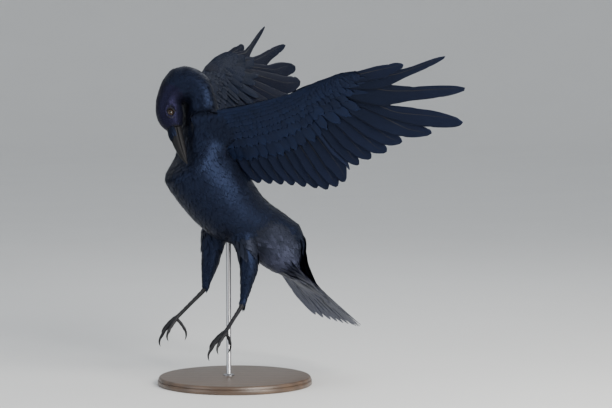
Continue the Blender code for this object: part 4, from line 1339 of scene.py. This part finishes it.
def make_tail_coverts(skin, face, finish, name, rng):
    """Coverts on the upper (1) or under (-1) face of the tail. They leave the body's end and lie down."""
    tail = Tail()
    out = tail.top * face
    a = down_shaft(14)
    lines, lengths, places = [], [], []
    for k, (root, reach, length) in enumerate(TAIL_ROWS):
        count = int(reach / TAIL_SPACING)
        for i in range(count):
            share = (2 * (i + 0.5 * (k % 2) + 0.25) / count - 1) + rng.normal(0, 0.03)
            angle = TAIL_SPREAD * share + rng.normal(0, 0.03)
            run = length * (1 - 0.18 * share**2) * rng.uniform(0.94, 1.06)
            u = root + run * a * math.cos(angle)
            v = reach * share + run * a * math.sin(angle)
            flat = tail.surface(u, v)
            # The line lies on the body where the body stands over the tail.
            hits = [skin.tree.ray_cast(Vector(spot + out * PROBE), Vector(-out), PROBE - 2)
                    for spot in flat]
            height = np.array([PROBE - hit[3] if hit[0] else 0.8 for hit in hits])
            height = np.maximum(height, height[0] * (1 - a) ** 1.3)
            smoothed(height, 3)
            rest = (0.7 + 0.22 * k) * np.minimum(1, a * 3) + rng.uniform(0, 0.5) - 1.0 * (1 - a) ** 2
            lines.append(flat + out * (height + rest)[:, None])
            lengths.append(run)
            places.append((share, k + 0.3 * share))
    lines, lengths = np.array(lines), np.array(lengths)
    half = rng.uniform(7.0, 8.2, len(lengths)) * (0.6 + 0.4 * lengths / lengths.max())
    points = soft_vanes(lines, np.broadcast_to(out, lines.shape), lengths, half, rng, 9, 0.012, 0.02)
    add_coat(name, points, np.array(places), finish, rng, rng.uniform(0.45, 1, len(points)))


# --- Head: bill, eyes, bristles ------------------------------------------------------------------

BILL_ROWS = 56
LOWER_WIDTH = 0.93
# Bristles: how many, where they start ahead of the bill's base, their length and half width.
BRISTLES = 300
BRISTLE_START = (-4.5, 5.0)
BRISTLE_LENGTH = (11, 17)
BRISTLE_HALF = 0.42
# Beyond BILL's own rows, from the tip: distance, ridge, cutting edge, half width.
UPPER_TIP = ((-1.6, 2.0, 0.3, 1.0), (0, 0.2, -0.3, 0.25))
LOWER_TIP = ((-2.6, -0.9, -0.1, 0.4),)
LID_SIDES = 72
# A lid from its rim out over the skin: distance from the eye's axis, and height. Some rows are folded.
LID_PROFILE = ((4.6, 3.85), (4.62, 4.15), (4.74, 4.34), (4.94, 4.36), (5.14, 4.2), (5.4, 3.85),
               (5.8, 3.5), (6.5, 3.3), (7.4, 3.2), (8.2, 3.1))
LID_FOLDED = range(2, 6)
LID_FOLDS, FOLD_DEPTH = 18, 0.035
# How far forwards and up the ball and the lid look.
BALL_LOOK = (0.22, 0.04)
LID_LOOK = (0.10, 0.02)
# The eyeball: how far beneath the eye's own radius, and the cornea's rise and half angle.
BALL_SUNK = 0.4
CORNEA_RISE, CORNEA_HALF = 0.55, 0.62
IRIS_EDGE = 0.72


def bill_shell(upper):
    """Rings of one half of the bill, rounded over the ridge and closed by the cutting edge."""
    way = 1 if upper else -1
    table = [(ahead, culmen if upper else gonys, edge, width if upper else width * LOWER_WIDTH)
             for ahead, culmen, edge, gonys, width in BILL]
    table += [(BILL_TIP[0] + ahead, BILL_TIP[1] + ridge, BILL_TIP[1] + edge, width)
              for ahead, ridge, edge, width in (UPPER_TIP if upper else LOWER_TIP)]
    arc = np.linspace(0, math.pi, 25)
    rings = []
    for ahead, ridge, edge, width in smooth_table(table, BILL_ROWS):
        spot = BILL_BASE + BILL_AXIS * ahead
        flat = edge + way * BILL_GAP / 2
        # The sides stand steep and meet in a soft ridge.
        out = np.sign(np.cos(arc)) * np.abs(np.cos(arc)) ** 0.85 * width
        up = flat + (ridge - flat) * np.sin(arc) ** (0.9 if upper else 0.8)
        wall = spot + np.outer(out, HEAD_LEFT) + np.outer(up, CROWN)
        lip = [spot + HEAD_LEFT * (width * s) * 0.86 + CROWN * flat for s in (-1, 1)]
        palate = flat + (0.7 if upper else -0.9) * min(1.0, width / 3)
        inner = [spot + HEAD_LEFT * (width * s * 0.55) + CROWN * palate for s in (-1, 0, 1)]
        rings.append(np.vstack([wall, lip[0], inner, lip[1]]))
    return np.array(rings)


def make_bill():
    for name, upper in (("bill_upper", True), ("bill_lower", False)):
        points, faces = closed_loft(bill_shell(upper))
        add_mesh(f"{name}_horn", points, faces, MATERIALS["horn"], replaces=(name,))


def make_bristles(rng):
    """Stiff bristles that hide the nostrils: they lie forwards along the culmen's base and its sides."""
    a = down_shaft(7)
    table = np.array(BILL)
    lines, faces, lengths, places = [], [], [], []
    for _ in range(BRISTLES):
        turn = rng.uniform(-1, 1) * 1.25
        start = rng.uniform(*BRISTLE_START)
        length = rng.uniform(*BRISTLE_LENGTH) * (1 - 0.25 * abs(turn))
        angle = turn + math.copysign(0.12, turn) * a
        ahead = start + length * a
        height, width = (np.interp(ahead, table[:, 0], table[:, column]) for column in (1, 4))
        lean = rng.normal(0, 0.35)
        faces.append(unit(np.outer(np.cos(angle + lean), CROWN)
                          + np.outer(np.sin(angle + lean), HEAD_LEFT)))
        skim = 0.4 + 0.5 * np.sin(a * math.pi) + rng.uniform(0, 0.9)
        lines.append(BILL_BASE + np.outer(ahead, BILL_AXIS)
                     + np.outer(np.sin(angle) * (width + skim), HEAD_LEFT)
                     + np.outer(np.cos(angle) * (height + skim), CROWN))
        lengths.append(length)
        places.append(((turn + 1.3) / 2.6, (start + 5) / 11))
    half = np.full(BRISTLES, BRISTLE_HALF)
    points = soft_vanes(np.array(lines), np.array(faces), np.array(lengths), half,
                        rng, 3, 0.1, 0.02, BRISTLE_TIP)
    add_coat("coat_bristles", points, np.array(places), MATERIALS["body_feather"], rng)


def make_eyes():
    """Eyeballs with a raised cornea, seen through the lids."""
    rows, columns = 40, 48
    fall = np.linspace(0.0, math.pi, rows)
    radius = EYE_RADIUS - BALL_SUNK + CORNEA_RISE * np.exp(-(fall / CORNEA_HALF) ** 4)
    seen = np.append(np.repeat(np.minimum(fall / IRIS_EDGE, 1.0), columns), (0.0, 1.0))
    round_ = np.append(np.tile(np.arange(columns) / columns, rows), (0.0, 0.0))
    turns = circle(columns)[:, None]
    for name, way in (("eye_left", 1), ("eye_right", -1)):
        centre, axis, right, up = eye_frame(way, *BALL_LOOK)
        rings = (centre + (np.cos(fall) * radius)[:, None, None] * axis
                 + (np.sin(fall) * radius)[:, None, None] * (np.cos(turns) * right + np.sin(turns) * up))
        points, faces = closed_loft(rings)
        add_mesh(f"{name}_ball", points, faces, MATERIALS["eye"], {"Vane": np.stack([round_, seen], 1)},
                 replaces=(name,))


def lid(way):
    """Bare lid round one eye, almond-shaped, with fine folds. Points and faces."""
    centre, axis, right, up = eye_frame(way, *LID_LOOK)
    turns = circle(LID_SIDES)
    almond = 1 + 0.10 * np.abs(np.cos(turns)) ** 6 - 0.10 * np.abs(np.sin(turns)) ** 3
    rings = []
    for k, (out, high) in enumerate(LID_PROFILE):
        fold = FOLD_DEPTH * np.sin(turns * LID_FOLDS + k) * (k in LID_FOLDED)
        r = out * almond
        rings.append(centre + axis * (high + fold)[:, None]
                     + (np.cos(turns) * r)[:, None] * right + (np.sin(turns) * r)[:, None] * up)
    return np.concatenate(rings), grid_faces(len(LID_PROFILE), LID_SIDES, True)


# --- Feet ----------------------------------------------------------------------------------------

SCUTE_STEP = 0.86
# The soft pad in which the toes meet: how far below the ankle, half width, half depth.
FOOT_PAD = ((-3.5, 3.6, 3.0), (0, 6.2, 3.5), (2.8, 6.6, 3.6), (4.8, 3.4, 2.2))
# Radii along a toe and along a claw, as shares of the toe's thickness, and the claw's point.
TOE_RADII = (1.0, 0.86, 0.95, 0.8, 0.88, 0.74)
CLAW_RADII = (0.70, 0.66, 0.52, 0.34)
CLAW_POINT = 0.12


def scaled_tube(stations, side, count, sides, scutes, relief, pad, start=None, end=None):
    """A leg or toe with overlapping scutes on its front and soft pads behind."""
    rings, spots, _ = tube(stations, side, count, sides, 0.0, start, end)
    t = np.linspace(0, 1, count)
    turns = circle(sides)
    front = np.clip(np.cos(turns) * 1.6 + 0.1, 0, 1)
    backs = np.clip(-np.cos(turns) * 1.4, 0, 1)
    step = (t * scutes) % 1.0
    saw = np.where(step < SCUTE_STEP, step / SCUTE_STEP, (1 - step) / (1 - SCUTE_STEP)) - 0.5
    swell = relief * saw[:, None] * front[None]
    swell = swell + pad * (0.5 - 0.5 * np.cos(t * 2 * math.pi * 3))[:, None] * backs[None]
    return rings + unit(rings - spots[:, None]) * swell[..., None]


def rotated(way, axis, degrees):
    angle = math.radians(degrees)
    return (way * math.cos(angle) + np.cross(axis, way) * math.sin(angle)
            + axis * axis.dot(way) * (1 - math.cos(angle)))


def bent_path(spot, way, axis, length, curl, radii):
    """Stations down a path that curls about axis. Returns them with the end's spot and direction."""
    steps = len(radii) - 1
    stations = [(*spot, radii[0], radii[0])]
    for i in range(steps):
        spot = spot + rotated(way, axis, curl * (i + 0.5) / steps) * (length / steps)
        stations.append((*spot, radii[i + 1], radii[i + 1]))
    return stations, spot, rotated(way, axis, curl)


def make_foot(name, tarsus, toes, hallux, outer):
    """Tarsus, toes and claws of one leg, as two pieces."""
    ankle = vec(*tarsus[-1][:3])
    down = unit(ankle - vec(*tarsus[-2][:3]))
    side = unit(LEFT - toes * LEFT.dot(toes)) * outer
    pad = [(*(ankle + down * drop), wide, deep) for drop, wide, deep in FOOT_PAD]
    shells = [scaled_tube(tarsus, LEFT, 90, 24, 11, 0.5, 0.0), scaled_tube(pad, side, 24, 24, 3, 0.2, 0.0)]
    curl_axis = side * outer
    digits = []
    for offset, splay, length, claw in FRONT_TOES:
        angle = math.radians(splay)
        way = unit(toes * math.cos(angle) + side * math.sin(angle))
        start = ankle + side * offset * 0.8 + down * (3.4 - abs(offset) * 0.25 - 2.2) + way * 1.0
        digits.append((start, way, curl_axis, length + 1.6, claw))
    back = unit(hallux - down * hallux.dot(down))
    digits.append((ankle + back * 2.6 - down * 1.0, hallux, -curl_axis, HALLUX[0] + 1.4, HALLUX[1]))
    nails = []
    for start, way, axis, length, claw in digits:
        toe = [TOE_THICK * k for k in TOE_RADII]
        stations, spot, finish = bent_path(start, way, axis, length, TOE_CURL, toe)
        shells.append(scaled_tube(stations, axis, 56, 20, 12, 0.36, 0.32, way, finish))
        nail = [TOE_THICK * k for k in CLAW_RADII] + [CLAW_POINT]
        stations, _, tip = bent_path(spot - finish * 0.8, finish, axis, claw + 0.8, CLAW_CURL, nail)
        stations = [(x, y, z, w * 0.8, w) for x, y, z, w, _ in stations]
        nails.append(tube(stations, axis, 30, 16, 0.0, finish, tip)[0])
    digit_nodes = [[f"{kind}_{name}_{i}" for i in range(1, 5)] for kind in ("toe", "claw")]
    points, faces = merged(closed_loft(shell) for shell in shells)
    add_mesh(f"foot_{name}", points, faces, MATERIALS["leg_scale"],
             replaces=[f"tarsus_{name}"] + digit_nodes[0])
    points, faces = merged(closed_loft(nail) for nail in nails)
    add_mesh(f"claws_{name}", points, faces, MATERIALS["claw"], replaces=digit_nodes[1])


# --- Stand, floor, lights, camera ----------------------------------------------------------------

SHARP_EDGE = math.radians(35)
# The base's edge from the floor up, as (in from the rim, height), below its rounded top.
BASE_EDGE = ((1.2, 0.0), (0.3, 0.4), (0, 1.2), (0, 5.6), (0.4, 6.4), (1.6, 6.9), (1.8, 7.4), (1.0, 8.0))
TOP_START = 8.4
TOP_ROUND = 3.6
TOP_INSET = 4.8
# The rod's collar, as (out from the rod, height over the base).
COLLAR = ((4.5, -0.1), (4.5, 0.9), (3.9, 1.6), (0.7, 2.4), (0, 3.4))
# The floor in metres: it bends up into a wall.
FLOOR_BEND = 7.0
FLOOR_CURVE = 3.0
FLOOR_TOP = 7.0
FLOOR_RINGS = (0.4, 2.0, 5.0)
LIGHT_TARGET = Vector((0.02, 0.0, 0.30))
# Lights: name, place and diameter in metres, power in watts, colour.
LIGHTS = (
    ("key", (1.15, -1.35, 1.25), 1.6, 54, (1.0, 0.97, 0.92)),
    ("fill", (-1.7, -1.2, 0.7), 1.8, 16, (0.86, 0.92, 1.0)),
    ("rim", (0.3, 1.3, 1.6), 1.4, 5, (0.92, 0.96, 1.0)),
    ("low", (0.9, -0.9, 0.12), 0.7, 5, (1.0, 0.98, 0.95)),
    ("glint", (0.9, -1.7, 0.95), 0.3, 15, (1.0, 0.98, 0.95)),
)
SKY = (0.80, 0.84, 0.90, 1)
SKY_POWER = 0.85
CAMERA_RISE = math.radians(4)
CAMERA_AWAY = 3.4
CAMERA_DROP = 0.004
CAMERA_LENS = 135


def lathed(profile, place, sides):
    """Rings of a profile of (radius, height) turned round an upright axis."""
    turns = circle(sides)
    return np.array([
        np.stack([place[0] + r * np.cos(turns), place[1] + r * np.sin(turns), np.full(sides, z)], 1)
        for r, z in profile])


def make_stand():
    profile = [(BASE_RADIUS - inward, z) for inward, z in BASE_EDGE]
    for angle in np.linspace(0, math.pi / 2, 9):
        profile.append((BASE_RADIUS - TOP_INSET + TOP_ROUND * math.cos(angle),
                        TOP_START + (BASE_THICK - TOP_START) * math.sin(angle)))
    rod = [(ROD_RADIUS + out, BASE_THICK + z) for out, z in COLLAR] + [(ROD_RADIUS, ROD_TOP - 3)]
    for name, outline, place, sides, finish in (
        ("stand_base", profile, (0, 0), 160, "stand_wood"),
        ("stand_rod", rod, ROD_PLACE, 48, "stand_steel"),
    ):
        points, faces = closed_loft(lathed(outline, place, sides))
        piece = add_mesh(f"{name}_turned", points, faces, MATERIALS[finish], replaces=(name,))
        piece.data.set_sharp_from_angle(angle=SHARP_EDGE)


def make_stage():
    """The floor, the sky's light and the lamps."""
    scene = bpy.context.scene
    sides = 96
    arc = [math.pi / 2 * i / 16 for i in range(17)]
    profile = [(radius, 0.0) for radius in FLOOR_RINGS]
    profile += [(FLOOR_BEND + FLOOR_CURVE * math.sin(t), FLOOR_CURVE * (1 - math.cos(t))) for t in arc]
    profile.append((FLOOR_BEND + FLOOR_CURVE, FLOOR_TOP))
    points = np.vstack([lathed(profile, (0, 0), sides).reshape(-1, 3), [[0.0, 0.0, 0.0]]])
    faces = [tuple(map(int, f)) for f in grid_faces(len(profile), sides, True)]
    faces += [(len(points) - 1, (i + 1) % sides, i) for i in range(sides)]
    floor = bpy.data.meshes.new("floor")
    floor.from_pydata(points, [], faces)
    floor.shade_smooth()
    floor.materials.append(MATERIALS["floor"])
    made = bpy.data.objects.new("floor", floor)
    scene.collection.objects.link(made)
    world = bpy.data.worlds.new("studio")
    world.use_nodes = True
    sky = world.node_tree.nodes["Background"]
    sky.inputs["Color"].default_value = SKY
    sky.inputs["Strength"].default_value = SKY_POWER
    scene.world = world
    for name, spot, size, power, colour in LIGHTS:
        lamp = bpy.data.lights.new(name, "AREA")
        lamp.shape = "DISK"
        lamp.size = size
        lamp.energy = power
        lamp.color = colour
        made = bpy.data.objects.new(name, lamp)
        made.visible_camera = False
        aim(made, Vector(spot), LIGHT_TARGET)


def aim(made, spot, target):
    """Puts a light or the camera at a spot, looking at a target."""
    made.location = spot
    made.rotation_mode = "QUATERNION"
    made.rotation_quaternion = (target - spot).to_track_quat("-Z", "Y")
    bpy.context.scene.collection.objects.link(made)


def make_camera():
    """A long lens that looks at the middle of the model from a little above it."""
    centre = Vector([(CAD_LOW[k] + CAD_HIGH[k]) / 2 for k in range(3)])
    centre.z -= CAMERA_DROP
    camera = bpy.data.objects.new("camera", bpy.data.cameras.new("camera"))
    camera.data.lens = CAMERA_LENS
    camera.data.sensor_width = 36
    camera.data.clip_start = 0.05
    camera.data.clip_end = 40
    away = Vector((0, -math.cos(CAMERA_RISE), math.sin(CAMERA_RISE))) * CAMERA_AWAY
    aim(camera, centre + away, centre)
    bpy.context.scene.camera = camera


# --- Everything ----------------------------------------------------------------------------------


def main():
    rng = np.random.default_rng(SEED + 1)
    wings = (
        Wing("left", SHOULDER_OUT, LEFT_SPAN, LEFT_CHORD, LEFT_LEADING, LEFT_PRIMARIES),
        Wing("right", -SHOULDER_OUT, RIGHT_SPAN, RIGHT_CHORD, RIGHT_LEADING, RIGHT_PRIMARIES),
    )
    points, faces = merged([make_skin(wings), lid(1), lid(-1)])
    skin = Surface(points, faces)
    add_mesh("skin", points, faces, MATERIALS["skin"], replaces=FLESH)
    make_body_coat(skin, wings)
    for wing in wings:
        nodes = (f"wing_{wing.name}_arm", f"wing_{wing.name}_hand")
        finishes = (MATERIALS["flight_above"], MATERIALS["flight_below"])
        add_flight(f"wing_{wing.name}_flight", wing, finishes, *WING_LAY, "wing_vane", nodes, rng)
        make_coverts(wing, UPPER_ROWS, 1, MATERIALS["upper_wing"], rng)
        make_coverts(wing, UNDER_ROWS, -1, MATERIALS["under_wing"], rng)
        make_alula(wing, rng)
    # The tail's underside finish carries painted glare.
    finishes = (MATERIALS["tail_above"], MATERIALS["tail_below_glare"])
    add_flight("tail_feathers", Tail(), finishes, *TAIL_LAY, "tail_vane", ("tail",), rng)
    # The under tail coverts take the vent's finish, so they are pale with painted glare.
    make_tail_coverts(skin, -1, MATERIALS["vent_feather_glare"], "coat_tail_under", rng)
    make_tail_coverts(skin, 1, MATERIALS["body_feather"], "coat_tail_upper", rng)
    make_bill()
    make_bristles(rng)
    make_eyes()
    make_foot("left", LEFT_TARSUS, LEFT_TOES, LEFT_HALLUX, 1)
    make_foot("right", RIGHT_TARSUS, RIGHT_TOES, RIGHT_HALLUX, -1)
    make_stand()
    make_stage()
    make_camera()


main()
